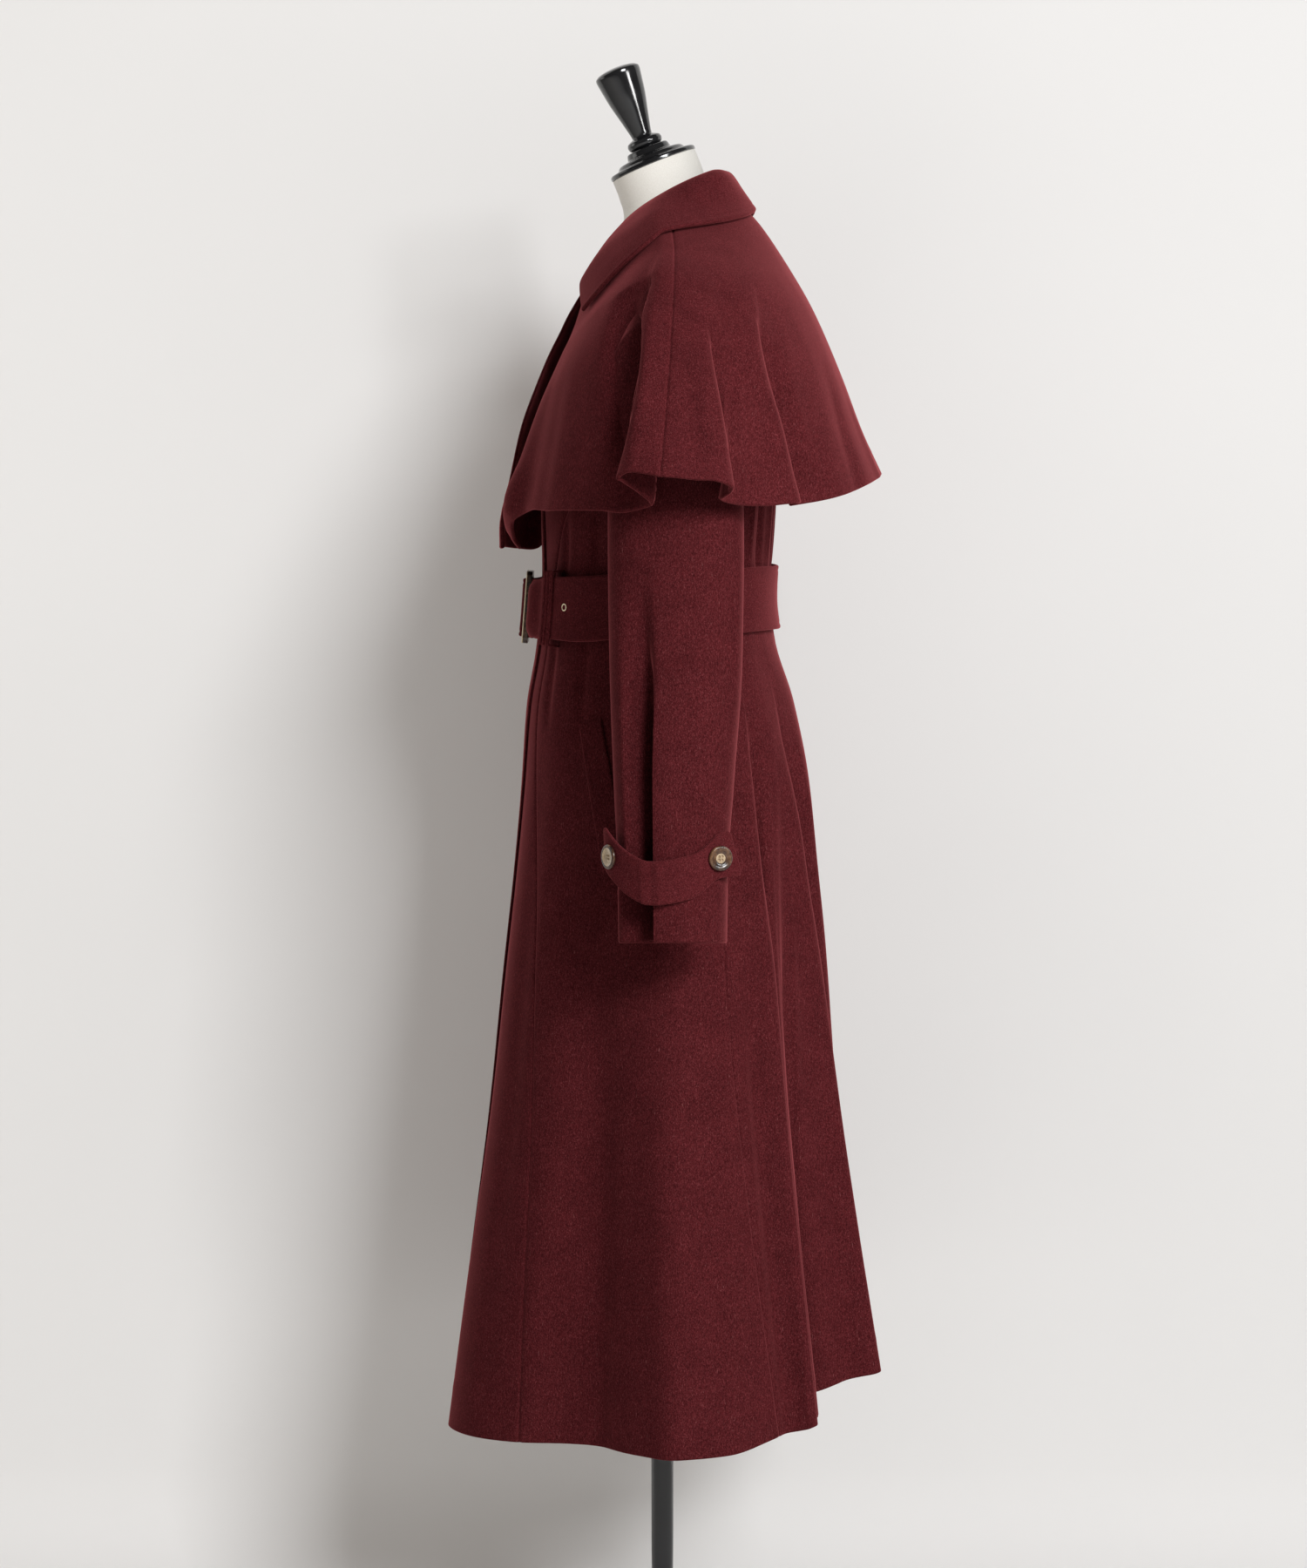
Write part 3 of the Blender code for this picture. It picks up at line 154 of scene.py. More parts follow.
SKIRT_FOLDS_RIGHT = [Fold(*row) for row in (
    (193.0, -0.062,  0.218, 0.334, 0.36),  # fold three, crest
    (205.0, -0.098,  0.167, 0.327, 0.37),  # fold three, foot
    (213.0, -0.124,  0.138, 0.318, 0.38),  # back valley
    (222.0, -0.166,  0.150, 0.314, 0.38),  # fold four, turned in
    (229.0, -0.199,  0.145, 0.313, 0.38),  # fold four, crest
    (240.0, -0.217,  0.108, 0.303, 0.42),  # back seam
    (254.0, -0.256,  0.056, 0.297, 0.45),  # side crest, back
    (268.0, -0.262,  0.002, 0.294, 0.48),  # side crest
    (284.0, -0.216, -0.056, 0.290, 0.50),  # side rise
    (298.0, -0.186, -0.103, 0.288, 0.48),  # side front valley
    (311.0, -0.168, -0.148, 0.286, 0.42),  # front seam
    (338.0, -0.092, -0.210, 0.280, 0.42),  # front crest
)]
CAPE_FOLDS_LEFT = [Fold(*row) for row in (
    (  2.0, 0.016, -0.147, 1.157, 0.25),  # front edge
    ( 10.0, 0.038, -0.152, 1.168, 0.25),  # front corner
    ( 20.0, 0.074, -0.151, 1.186, 0.25),  # front roll
    ( 30.0, 0.108, -0.134, 1.196, 0.25),  # front roll, side
    ( 46.0, 0.172, -0.111, 1.198, 0.25),  # front flank
    ( 60.0, 0.234, -0.064, 1.199, 0.28),  # valley, front wall
    ( 70.0, 0.262, -0.034, 1.198, 0.28),  # valley, floor
    ( 76.0, 0.281, -0.013, 1.204, 0.28),  # valley, turned under
    ( 80.0, 0.298, -0.026, 1.217, 0.28),  # arm crest, under lip
    ( 84.0, 0.314, -0.044, 1.229, 0.26),  # arm crest, front lip
    ( 89.0, 0.330, -0.031, 1.236, 0.24),  # arm crest, front
    ( 96.0, 0.339,  0.002, 1.232, 0.25),  # arm crest
    (104.0, 0.331,  0.045, 1.228, 0.30),  # arm crest, back
    (110.0, 0.310,  0.069, 1.219, 0.40),  # arm crest, back lip
    (115.0, 0.284,  0.057, 1.208, 0.62),  # back arm valley
    (120.0, 0.262,  0.078, 1.204, 0.56),  # back flank, foot
    (126.0, 0.246,  0.106, 1.204, 0.35),  # back flank
    (138.0, 0.199,  0.144, 1.207, 0.30),  # back crest
    (149.0, 0.164,  0.174, 1.213, 0.30),  # back roll
    (161.0, 0.108,  0.203, 1.224, 0.34),  # back roll, far side
    (176.0, 0.016,  0.219, 1.232, 0.30),  # centre back
)]
CAPE_FOLDS_RIGHT = [Fold(*row) for row in (
    (187.0, -0.044,  0.216, 1.233, 0.30),  # centre back, right
    (199.0, -0.108,  0.201, 1.225, 0.34),  # back roll, far side
    (210.0, -0.160,  0.175, 1.214, 0.30),  # back roll
    (219.0, -0.192,  0.148, 1.210, 0.30),  # back crest
    (234.0, -0.240,  0.105, 1.206, 0.35),  # back flank
    (244.0, -0.266,  0.070, 1.204, 0.40),  # back arm valley
    (252.0, -0.309,  0.056, 1.220, 0.36),  # arm crest, back lip
    (264.0, -0.334,  0.006, 1.232, 0.25),  # arm crest
    (275.0, -0.320, -0.040, 1.230, 0.26),  # arm crest, front lip
    (280.0, -0.296, -0.032, 1.215, 0.28),  # arm crest, under lip
    (286.0, -0.276, -0.028, 1.203, 0.28),  # valley, turned under
    (296.0, -0.236, -0.064, 1.198, 0.28),  # valley, front wall
    (312.0, -0.176, -0.113, 1.190, 0.25),  # front flank
    (330.0, -0.104, -0.130, 1.156, 0.25),  # front roll, side
    (342.0, -0.054, -0.150, 1.156, 0.25),  # front roll
)]
CAPE_LAP_FOLDS = [Fold(*row) for row in (
    (350.0, -0.020, -0.162, 1.158, 0.22),  # far front
    (364.0,  0.020, -0.161, 1.158, 0.22),  # far front edge
)]
Rise = namedtuple("Rise", "run rise")
CAPE_LAP_RISE = [Rise(*row) for row in (
    (0.00, 0.0000), (0.10, 0.0030), (0.24, 0.0110), (0.38, 0.0120), (0.57, 0.0110), (0.78, 0.0050), (1.00, 0.0000),
)]

Seam = namedtuple("Seam", "run front_seam back_seam")
SEAMS = [Seam(*row) for row in (
    (0.195,  70.2, 109.8),
    (0.245,  52.0, 116.0),
    (0.300,  31.0, 122.0),
    (0.350,  22.0, 124.0),
    (0.420,  22.0, 117.0),
    (0.620,  37.0, 111.0),
    (0.800,  45.0, 115.0),
    (1.000,  50.0, 120.5),
)]
ARMHOLE_RUN = 0.165
ARMHOLE_HALF_RUN = 0.053
ARMHOLE_HALF_ANGLE = 24.0
JOIN_RUN = 0.195
SETTLE_RUN = 0.300

Tube = namedtuple("Tube", "place x y half_x half_y z lift")
SLEEVE_TUBES = [Tube(*row) for row in (
    (0.10, 0.201, 0.009, 0.0230, 0.0580,  1.333, 0.046),  # cap
    (0.24, 0.210, 0.011, 0.0400, 0.0630,  1.262, 0.020),  # bicep
    (0.42, 0.215, 0.012, 0.0450, 0.0645,  1.169, 0.004),  # arm
    (0.60, 0.231, 0.012, 0.0470, 0.0630,  1.060, 0.002),  # elbow
    (0.78, 0.248, 0.010, 0.0480, 0.0568, 0.9415, 0.002),  # forearm
    (0.90, 0.256, 0.009, 0.0470, 0.0522,  0.862, 0.004),  # wrist
    (1.00, 0.262, 0.009, 0.0465, 0.0512,  0.792, 0.006),  # cuff
)]
Strap = namedtuple("Strap", "place angle z off")
STRAP_LINE = [Strap(*row) for row in (
    (0.00,  10.0, 0.8830, 0.0095),
    (0.12,  23.0, 0.8755, 0.0080),
    (0.30,  45.0, 0.8620, 0.0060),
    (0.45,  70.0, 0.8540, 0.0060),
    (0.64, 108.0, 0.8600, 0.0025),
    (0.84, 140.0, 0.8770, 0.0005),
    (1.00, 160.0, 0.8800, 0.0070),
)]
Collar = namedtuple("Collar", "angle roll_x roll_y roll_z edge_angle edge_run rise")
COLLAR_PLACES = [Collar(*row) for row in (
    ( 10.0, 0.0180, -0.0565, 1.4560,  34.0, 0.290, 0.0080),  # front
    ( 32.0, 0.0400, -0.0410, 1.4780,  52.0, 0.262, 0.0100),  # front side
    ( 60.0, 0.0580, -0.0230, 1.4935,  74.0, 0.228, 0.0080),  # side front
    ( 90.0, 0.0635,  0.0040, 1.5100, 100.0, 0.158, 0.0090),  # side
    (120.0, 0.0550,  0.0320, 1.5240, 131.0, 0.116, 0.0085),  # back side
    (150.0, 0.0330,  0.0530, 1.5325, 155.0, 0.088, 0.0065),  # back
    (180.0, 0.0000,  0.0615, 1.5335, 180.0, 0.055, 0.0055),  # centre back
)]
COLLAR_OFF = 0.0045
COLLAR_NECK = (0.978, 0.978, 1.0)
COLLAR_CLEAR = 0.0008
COLLAR_THICK = 0.0044        # two layers and their turned edge

Level = namedtuple("Level", "half front back z")
FORM_LEVELS = [Level(*row) for row in (
    (0.118, 0.0990, 0.0895, 1.105),  # waist
    (0.128, 0.1080, 0.1010, 1.050),  # belly
    (0.139, 0.1140, 0.1150, 0.995),  # high hip
    (0.146, 0.1180, 0.1240, 0.940),  # hip
    (0.147, 0.1150, 0.1230, 0.880),  # seat
    (0.142, 0.1070, 0.1170, 0.835),  # lower
    (0.134, 0.1000, 0.1100, FORM_BOTTOM),  # bottom
)]
Under = namedtuple("Under", "run side middle")
FORM_UNDER = [Under(*row) for row in (
    (0.000, 0.0006, 0.0010), (0.025, 0.0006, 0.0020), (0.055, 0.0006, 0.0030),
    (0.085, 0.0008, 0.0040), (0.112, 0.0045, 0.0055), (0.143, 0.0080, 0.0070),
    (0.168, 0.0100, 0.0075), (0.218, 0.0100, 0.0080), (0.275, 0.0110, 0.0100),
)]
Neck = namedtuple("Neck", "y z half_x half_y lean")
FORM_NECK = [Neck(*row) for row in (
    (CAP_CENTRE[1], CAP_CENTRE[2], 0.0430, 0.0438, CAP_TILT),  # under the cap
    (-0.0015, 1.5194, 0.0432, 0.0440, 20.5),  # middle
    ( 0.0045, 1.4980, 0.0450, 0.0450, 17.0),  # foot
)]

# ---------------------------------------------------------------- creases
# a soft trough (depth below 0) or ridge (above 0): angle and run where it starts and ends, half width
Crease = namedtuple("Crease", "angle_top run_top angle_foot run_foot width depth")
COAT_CREASES = [Crease(*row) for row in (
    # gathers held by the belt, above it and below it, left side and then right
    (134.0, 0.250, 131.0, 0.332, 0.0045, -0.0040), (142.0, 0.235, 140.5, 0.332, 0.0040, 0.0035),
    (150.0, 0.262, 149.0, 0.332, 0.0050, -0.0045), (160.0, 0.240, 160.0, 0.332, 0.0045, 0.0030),
    (170.0, 0.255, 171.0, 0.332, 0.0050, -0.0040), (112.0, 0.270, 114.0, 0.332, 0.0060, -0.0030),
    (60.0, 0.265, 55.0, 0.332, 0.0060, -0.0030), (38.0, 0.275, 36.0, 0.332, 0.0050, -0.0025),
    (188.0, 0.250, 187.0, 0.332, 0.0050, 0.0030), (198.0, 0.262, 199.0, 0.332, 0.0045, -0.0042),
    (209.0, 0.240, 211.0, 0.332, 0.0045, 0.0032), (220.0, 0.255, 222.0, 0.332, 0.0050, -0.0038),
    (246.0, 0.270, 244.0, 0.332, 0.0060, -0.0030), (303.0, 0.262, 306.0, 0.332, 0.0060, -0.0030),
    (324.0, 0.275, 325.0, 0.332, 0.0050, -0.0022),
    (30.0, 0.366, 33.0, 0.450, 0.0060, -0.0026), (52.0, 0.366, 54.0, 0.470, 0.0065, -0.0030),
    (72.0, 0.366, 73.0, 0.440, 0.0060, -0.0024), (99.0, 0.366, 100.0, 0.480, 0.0070, -0.0030),
    (289.0, 0.366, 288.0, 0.450, 0.0060, -0.0026), (308.0, 0.366, 306.0, 0.480, 0.0065, -0.0030),
    (331.0, 0.366, 329.0, 0.440, 0.0055, -0.0022), (258.0, 0.366, 258.0, 0.470, 0.0070, -0.0028),
    # long slow undulations down the skirt
    (30.0, 0.45, 36.0, 0.98, 0.016, -0.0022), (88.0, 0.55, 92.0, 1.00, 0.024, 0.0030),
    (64.0, 0.50, 71.0, 1.00, 0.030, -0.0120), (295.0, 0.50, 289.0, 1.00, 0.030, -0.0110),
    (119.0, 0.46, 124.0, 1.00, 0.013, -0.0080), (240.0, 0.46, 236.0, 1.00, 0.013, -0.0076),
    (144.0, 0.40, 152.0, 1.00, 0.020, 0.0110), (140.0, 0.40, 144.0, 1.00, 0.011, -0.0080),
    (217.0, 0.40, 208.5, 1.00, 0.020, 0.0100), (221.0, 0.40, 216.5, 1.00, 0.011, -0.0070),
    (104.0, 0.50, 103.0, 0.96, 0.018, -0.0022), (142.0, 0.50, 143.0, 1.00, 0.010, -0.0025),
    (160.0, 0.42, 161.0, 0.92, 0.010, -0.0022), (174.0, 0.40, 173.0, 0.90, 0.010, 0.0020),
    (334.0, 0.46, 326.0, 0.97, 0.016, -0.0022), (276.0, 0.52, 275.0, 1.00, 0.022, 0.0020),
    (260.0, 0.50, 261.0, 0.95, 0.018, -0.0022), (217.0, 0.50, 217.0, 1.00, 0.010, -0.0022),
    (199.0, 0.42, 199.0, 0.90, 0.010, -0.0020),
)]
CAPE_CREASES = [Crease(*row) for row in (
    (67.5, 0.38, 72.5, 0.99, 0.0190, -0.0190), (40.0, 0.45, 42.0, 1.00, 0.0160, -0.0012),
    (100.0, 0.50, 101.0, 1.00, 0.0110, -0.0018), (131.0, 0.42, 131.0, 0.96, 0.0140, -0.0022),
    (154.0, 0.46, 155.0, 1.00, 0.0130, -0.0020), (168.0, 0.52, 168.0, 1.00, 0.0120, 0.0018),
    (195.0, 0.50, 195.0, 1.00, 0.0120, 0.0018), (209.0, 0.46, 210.0, 1.00, 0.0130, -0.0020),
    (226.0, 0.42, 227.0, 0.96, 0.0140, -0.0022), (258.0, 0.50, 258.0, 1.00, 0.0110, -0.0018),
    (292.5, 0.38, 288.5, 0.99, 0.0190, -0.0170), (320.0, 0.45, 319.0, 1.00, 0.0160, -0.0012),
)]
# a fold's edge that follows (run, angle) places: the cloth swells towards it, drops steeply beyond it on its
# side (1 towards the centre back, -1 towards the front) and comes back over the tail; roll is the edge's radius,
# grow is in runs and hem is the share left at the hem, where the fold table makes the lobes
Ridge = namedtuple("Ridge", "line side ridge drop tail roll grow hem")
COAT_RIDGES = [
    Ridge([(0.378, 128.0), (0.468, 126.5), (0.662, 130.5), (0.770, 131.0), (1.000, 131.2)],
          1, 0.0060, 0.0160, 0.036, 0.0130, 0.16, 1.0),
    Ridge([(0.378, 151.0), (0.427, 149.5), (0.552, 157.5), (0.652, 162.0), (0.760, 164.0), (1.000, 165.0)],
          1, 0.0060, 0.0140, 0.030, 0.0120, 0.16, 1.0),
    Ridge([(0.382, 208.0), (0.470, 205.5), (0.650, 198.0), (0.780, 195.0), (1.000, 194.0)],
          1, 0.0055, 0.0130, 0.029, 0.0120, 0.16, 1.0),
    Ridge([(0.378, 234.5), (0.480, 234.0), (0.660, 230.5), (1.000, 229.5)],
          1, 0.0060, 0.0140, 0.030, 0.0120, 0.16, 1.0),
]
CAPE_RIDGES = [
    Ridge([(0.380, 78.5), (0.470, 80.5), (0.560, 84.0), (0.645, 86.0), (0.770, 86.5), (0.893, 85.5), (1.000, 83.5)],
          -1, 0.0040, 0.0120, 0.024, 0.0090, 0.28, 0.3),
    Ridge([(0.460, 102.0), (0.550, 104.0), (0.745, 107.0), (1.000, 109.5)],
          1, 0.0070, 0.0185, 0.034, 0.0180, 0.30, 0.3),
    Ridge([(0.420, 118.0), (0.517, 122.0), (0.682, 127.0), (0.797, 130.5), (1.000, 134.0)],
          1, 0.0070, 0.0175, 0.034, 0.0180, 0.30, 0.8),
    Ridge([(0.400, 281.0), (0.560, 276.0), (0.780, 274.0), (1.000, 275.5)],
          -1, 0.0038, 0.0115, 0.024, 0.0090, 0.28, 0.3),
    Ridge([(0.470, 258.0), (0.760, 253.5), (1.000, 251.5)],
          1, 0.0052, 0.0140, 0.026, 0.0160, 0.30, 0.3),
    Ridge([(0.430, 241.5), (0.690, 232.5), (1.000, 225.0)],
          1, 0.0050, 0.0125, 0.028, 0.0160, 0.30, 0.8),
]
DROP_WIDTH = 0.0040           # metres in which the cloth drops beyond a fold's edge
RIDGE_SWELL = 0.017           # half width of the swelling in front of the edge
RIDGE_ROUND = 0.62            # share of the drop that the edge's roll takes up
RIDGE_GROWTH = 1.8            # the power with which an edge comes in
RIDGE_FADE = (0.78, 0.20)     # the run where its height changes to the share left at the hem, and over how much
# where points lie across a fold's edge, and in from a cut edge (metres)
RIDGE_STEPS = np.array([-0.0240, -0.0170, -0.0130, -0.0098, -0.0080, -0.0062, -0.0046, -0.0032, -0.0020, -0.0010,
                        -0.0003, 0.0, 0.0005, 0.0011, 0.0018, 0.0026, 0.0040, 0.0060, 0.0090, 0.0130, 0.0190])
RIDGE_ROOM = 0.45             # the most of the way to its neighbours that a fold edge's points take up
EDGE_STEPS = np.array([0.0, 0.0003, 0.0008, 0.0016, 0.0028, 0.0048])
# on a sleeve: turn round it (0 front, 90 outer, 180 back) and place down it
SLEEVE_CREASES = [Crease(*row) for row in (
    (120.0, 0.34, 128.0, 0.66, 0.0090, -0.0024), (146.0, 0.42, 140.0, 0.70, 0.0080, -0.0026),
    (100.0, 0.62, 104.0, 0.93, 0.0110, -0.0018), (48.0, 0.52, 50.0, 0.80, 0.0090, 0.0018),
    (206.0, 0.44, 214.0, 0.74, 0.0090, -0.0030), (262.0, 0.40, 252.0, 0.72, 0.0100, -0.0028),
    (300.0, 0.46, 306.0, 0.78, 0.0090, -0.0026), (340.0, 0.50, 336.0, 0.80, 0.0080, -0.0022),
)]


# ---------------------------------------------------------------- smooth curves and surfaces
class Track:
    """A smooth curve through rows of values that does not overshoot them (monotone cubic)."""

    def __init__(self, places, values):
        self.places = np.asarray(places, float)
        self.values = np.asarray(values, float).reshape(len(places), -1)
        rise = np.diff(self.values, axis=0) / np.diff(self.places)[:, None]
        before, after = rise[:-1], rise[1:]
        same = before * after > 0
        between = np.where(same, 2.0 * before * after / np.where(same, before + after, 1.0), 0.0)
        self.slope = np.concatenate([rise[:1], between, rise[-1:]])

    def __call__(self, place):
        place = np.asarray(place, float)
        flat = np.clip(place.ravel(), self.places[0], self.places[-1])
        low = np.clip(np.searchsorted(self.places, flat, side="right") - 1, 0, len(self.places) - 2)
        width = (self.places[low + 1] - self.places[low])[:, None]
        s = (flat - self.places[low])[:, None] / width
        out = ((1 + 2 * s) * (1 - s) ** 2 * self.values[low]
               + s * (1 - s) ** 2 * width * self.slope[low]
               + s ** 2 * (3 - 2 * s) * self.values[low + 1]
               + s ** 2 * (s - 1) * width * self.slope[low + 1])
        return out.reshape(place.shape + (self.values.shape[1],))


def along(rows):
    """A track through a table's rows, each placed by its first value."""
    return Track([row[0] for row in rows], [row[1:] for row in rows])


def ease(s):
    """0 to 1 with soft ends."""
    s = np.clip(s, 0.0, 1.0)
    return s * s * (3 - 2 * s)


def bell(away, width):
    """1 in the middle and 0 well beyond width on both sides."""
    return np.exp(-((away / width) ** 2))


Mark = namedtuple("Mark", "height at width")   # a low ridge, or a groove where height is below 0


def marked(mark, place):
    return mark.height * bell(place - mark.at, mark.width)


def unit(vectors):
    return vectors / np.linalg.norm(vectors, axis=-1, keepdims=True)


class Garment:
    """A surface of rings from neck seam to hem, with folds that grow towards the hem."""

    GROWTH = 1.25             # the power with which a fold comes in between its start and the hem
    NEAR_ANGLE, NEAR_RUN = 0.4, 0.004   # how far away the surface's direction is read

    def __init__(self, rings, folds, wraps=True):
        self.rings = along(rings)
        angles = [f.angle for f in folds]
        pushes = [np.append(np.array([f.x, f.y, f.z]) - self.base(f.angle, 1.0), f.start) for f in folds]
        if wraps:
            angles = [a - 360 for a in angles] + angles + [a + 360 for a in angles]
            pushes = pushes * 3
        self.pushes = Track(angles, pushes)

    def base(self, angle, run):
        half, front, back, z_front, z_side, z_back, pinch = np.moveaxis(self.rings(run), -1, 0)
        turn = np.radians(angle)
        s, c = np.sin(turn), np.cos(turn)
        y = np.where(c > 0, -front * np.abs(c) ** pinch, -back * c)
        z_middle = np.where(c > 0, z_front, z_back)
        return np.stack([half * s, y, z_side * s * s + z_middle * c * c], axis=-1)

    def surface(self, angle, run):
        angle, run = np.broadcast_arrays(np.asarray(angle, float), np.asarray(run, float))
        push = self.pushes(angle)
        start = push[..., 3]
        grown = np.clip((run - start) / (1 - start), 0.0, 1.0) ** self.GROWTH
        return self.base(angle, run) + push[..., :3] * grown[..., None]

    def normal(self, angle, run):
        """The unit outward direction."""
        across = self.surface(angle + self.NEAR_ANGLE, run) - self.surface(angle - self.NEAR_ANGLE, run)
        run_up, run_down = np.clip(run - self.NEAR_RUN, 0, 1), np.clip(run + self.NEAR_RUN, 0, 1)
        return unit(np.cross(self.surface(angle, run_down) - self.surface(angle, run_up), across))

    def point(self, angle, run, off=0.0):
        angle, run = np.broadcast_arrays(np.asarray(angle, float), np.asarray(run, float))
        return self.surface(angle, run) + self.normal(angle, run) * np.asarray(off, float)[..., None]

    def metres_across(self, angle, run):
        """Metres of cloth in one degree round the body there."""
        return np.linalg.norm(self.surface(angle + 0.5, run) - self.surface(angle - 0.5, run), axis=-1)


COAT = Garment(BODY_RINGS, SKIRT_FOLDS_LEFT + SKIRT_FOLDS_RIGHT)
CAPE = Garment(CAPE_RINGS, CAPE_FOLDS_LEFT + CAPE_FOLDS_RIGHT)
CAPE_OVER = Garment(CAPE_RINGS, CAPE_FOLDS_RIGHT + CAPE_LAP_FOLDS, wraps=False)
seam_track, tube_track, strap_track = along(SEAMS), along(SLEEVE_TUBES), along(STRAP_LINE)
rise_track, collar_track = along(CAPE_LAP_RISE), along(COLLAR_PLACES)


def swell(angles, runs, creases, metres_per_degree):
    """How far the creases move the cloth out, at each point of a grid; those that reach the hem stay open there."""
    out = np.zeros_like(angles)
    for c in creases:
        down = (runs - c.run_top) / (c.run_foot - c.run_top)
        away = (angles - (c.angle_top + (c.angle_foot - c.angle_top) * down)) * metres_per_degree
        fade = ease(down * 1.6) if c.run_foot >= 1.0 else np.clip(4 * down * (1 - down), 0, 1) ** 0.6
        out += c.depth * bell(away, c.width) * np.where((down > 0) & (down < 1.001), fade, 0.0)
    return out


def ridge_line(ridge, runs):
    """The angle of the fold's edge at each run, and the way in which it drops (1 rising angles, -1 falling)."""
    return along(ridge.line)(runs)[..., 0], ridge.side * (1 if ridge.line[0][1] < 180.0 else -1)


def ridges_out(angles, runs, ridges, metres_per_degree):
    """How far the fold edges move the cloth out."""
    out = np.zeros_like(angles)
    for r in ridges:
        line, way = ridge_line(r, runs)
        behind = (angles - line) * metres_per_degree * way
        fall = RIDGE_ROUND * (r.ridge + r.drop)
        rolled = np.clip(behind / r.roll + 1.0, 0.0, 1.0)
        before = r.ridge * bell(np.minimum(behind + r.roll, 0.0), RIDGE_SWELL)
        before = before - fall * (1.0 - np.sqrt(1.0 - rolled ** 2))
        after = (r.ridge - fall) - (r.ridge + r.drop - fall) * ease(behind / DROP_WIDTH)
        after = after + r.drop * ease((behind - DROP_WIDTH) / r.tail)
        at_hem = ease((runs - RIDGE_FADE[0]) / RIDGE_FADE[1])
        grown = ease((runs - r.line[0][0]) / r.grow) ** RIDGE_GROWTH * (1.0 - (1.0 - r.hem) * at_hem)
        out += grown * np.where(behind < 0, before, after)
    return out


# ---------------------------------------------------------------- meshes
COLLECTION = bpy.data.collections.new("cape_coat_looks")
bpy.context.scene.collection.children.link(COLLECTION)


def placed(name, data):
    """A new object in the looks' collection."""
    obj = bpy.data.objects.new(name, data)
    COLLECTION.objects.link(obj)
    return obj


def finish_mesh(mesh, mat, smooth_angle):
    mesh.materials.clear()
    mesh.materials.append(mat)
    mesh.shade_smooth()
    mesh.set_sharp_from_angle(angle=math.radians(smooth_angle))


def add_object(name, points, faces, mat, smooth_angle=55.0):
    mesh = bpy.data.meshes.new(name)
    mesh.from_pydata([tuple(p) for p in points], [], faces)
    finish_mesh(mesh, mat, smooth_angle)
    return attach(placed(name, mesh), "root")


def dressed(piece, node):
    """The piece takes the place of a CAD node, which is hidden."""
    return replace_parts(piece, node)


def grid_faces(rows, cols, wrap, first=0, flip=False):
    faces = []
    for r in range(rows - 1):
        for c in range(cols if wrap else cols - 1):
            a, b, d = first + r * cols, first + (r + 1) * cols, (c + 1) % cols
            face = (a + c, b + c, b + d, a + d)
            faces.append(face[::-1] if flip else face)
    return faces


def wall(name, outer, inner, mat, wrap=False):
    """A closed piece between two grids of points."""
    rows, cols = outer.shape[:2]
    count = rows * cols
    faces = grid_faces(rows, cols, wrap) + grid_faces(rows, cols, wrap, count, flip=True)
    top, foot = list(range(cols))[::-1], list(range(count - cols, count))
    if wrap:
        rims = [top + top[:1], foot + foot[:1]]
    else:
        left = list(range(0, count, cols))
        rims = [top + left[1:] + foot[1:] + [start + cols - 1 for start in left[::-1]][1:]]
    for rim in rims:
        faces += [(b, a, count + a, count + b) for a, b in zip(rim, rim[1:])]
    return add_object(name, np.concatenate([outer.reshape(-1, 3), inner.reshape(-1, 3)]), faces, mat)


def spindle(name, first, rings, last, mat, smooth_angle=55.0):
    """A closed piece of rings between two end points."""
    rows, cols = rings.shape[:2]
    points = np.concatenate([[first], rings.reshape(-1, 3), [last]])
    end = 1 + (rows - 1) * cols
    faces = [(0, 1 + c, 1 + (c + 1) % cols) for c in range(cols)] + grid_faces(rows, cols, True, 1)
    faces += [(len(points) - 1, end + (c + 1) % cols, end + c) for c in range(cols)]
    return add_object(name, points, faces, mat, smooth_angle)


def grid_normals(points, wrap=False):
    if wrap:
        padded = np.concatenate([points[:, -1:], points, points[:, :1]], axis=1)
        across = padded[:, 2:] - padded[:, :-2]
    else:
        across = np.gradient(points, axis=1)
    out = np.cross(np.gradient(points, axis=0), across)
    return out / np.maximum(np.linalg.norm(out, axis=-1, keepdims=True), 1e-12)


def half_thick(thick, edge, rounding):
    """Half the cloth's thickness, rounded off where edge (the way in from the edge) is small."""
    return thick / 2 * np.sqrt(np.clip(1 - np.clip(1 - edge / rounding, 0, 1) ** 2, 0.02, 1))


def cloth(name, outer, thick, edge, mat, wrap=False, pleat_shade_mask=None):
    """Cloth under a grid of outer points, thick at each point, with rounded edges."""
    normals = grid_normals(outer, wrap)
    half = normals * half_thick(thick, edge, EDGE_ROUND)[..., None]
    middle = outer - normals * (thick / 2)[..., None]
    piece = wall(name, middle + half, middle - half, mat, wrap)
    # marks the mesh where the wool material paints shade (the sleeve's deep pleat)
    if pleat_shade_mask is not None:
        marks = piece.data.attributes.new("pleat_shade_mask", "FLOAT", "POINT")
        marks.data.foreach_set("value", np.tile(pleat_shade_mask.ravel(), 2))
    return piece


def between_edges(low, high, middle, per=1.0):
    """Places from low to high, close together at both edges; per is metres in one unit of place."""
    return np.concatenate([low + EDGE_STEPS / per, middle, high - EDGE_STEPS[::-1] / per])


def flipped(right, *grids):
    """The grids, with their columns in reverse on the wearer's right."""
    return [grid[:, ::-1] if right else grid for grid in grids]


def crossing(runs, lows, highs, ridges, right=False):
    """The fold edges that cross a panel: their angles at each run and the way each drops, from low to high."""
    found = []
    for r in ridges:
        line, way = ridge_line(r, runs)
        line, way = (360.0 - line, -way) if right else (line, way)
        if ((line > lows + 1.0) & (line < highs - 1.0)).all():
            found.append((line, way))
    return sorted(found, key=lambda pair: pair[0].mean())


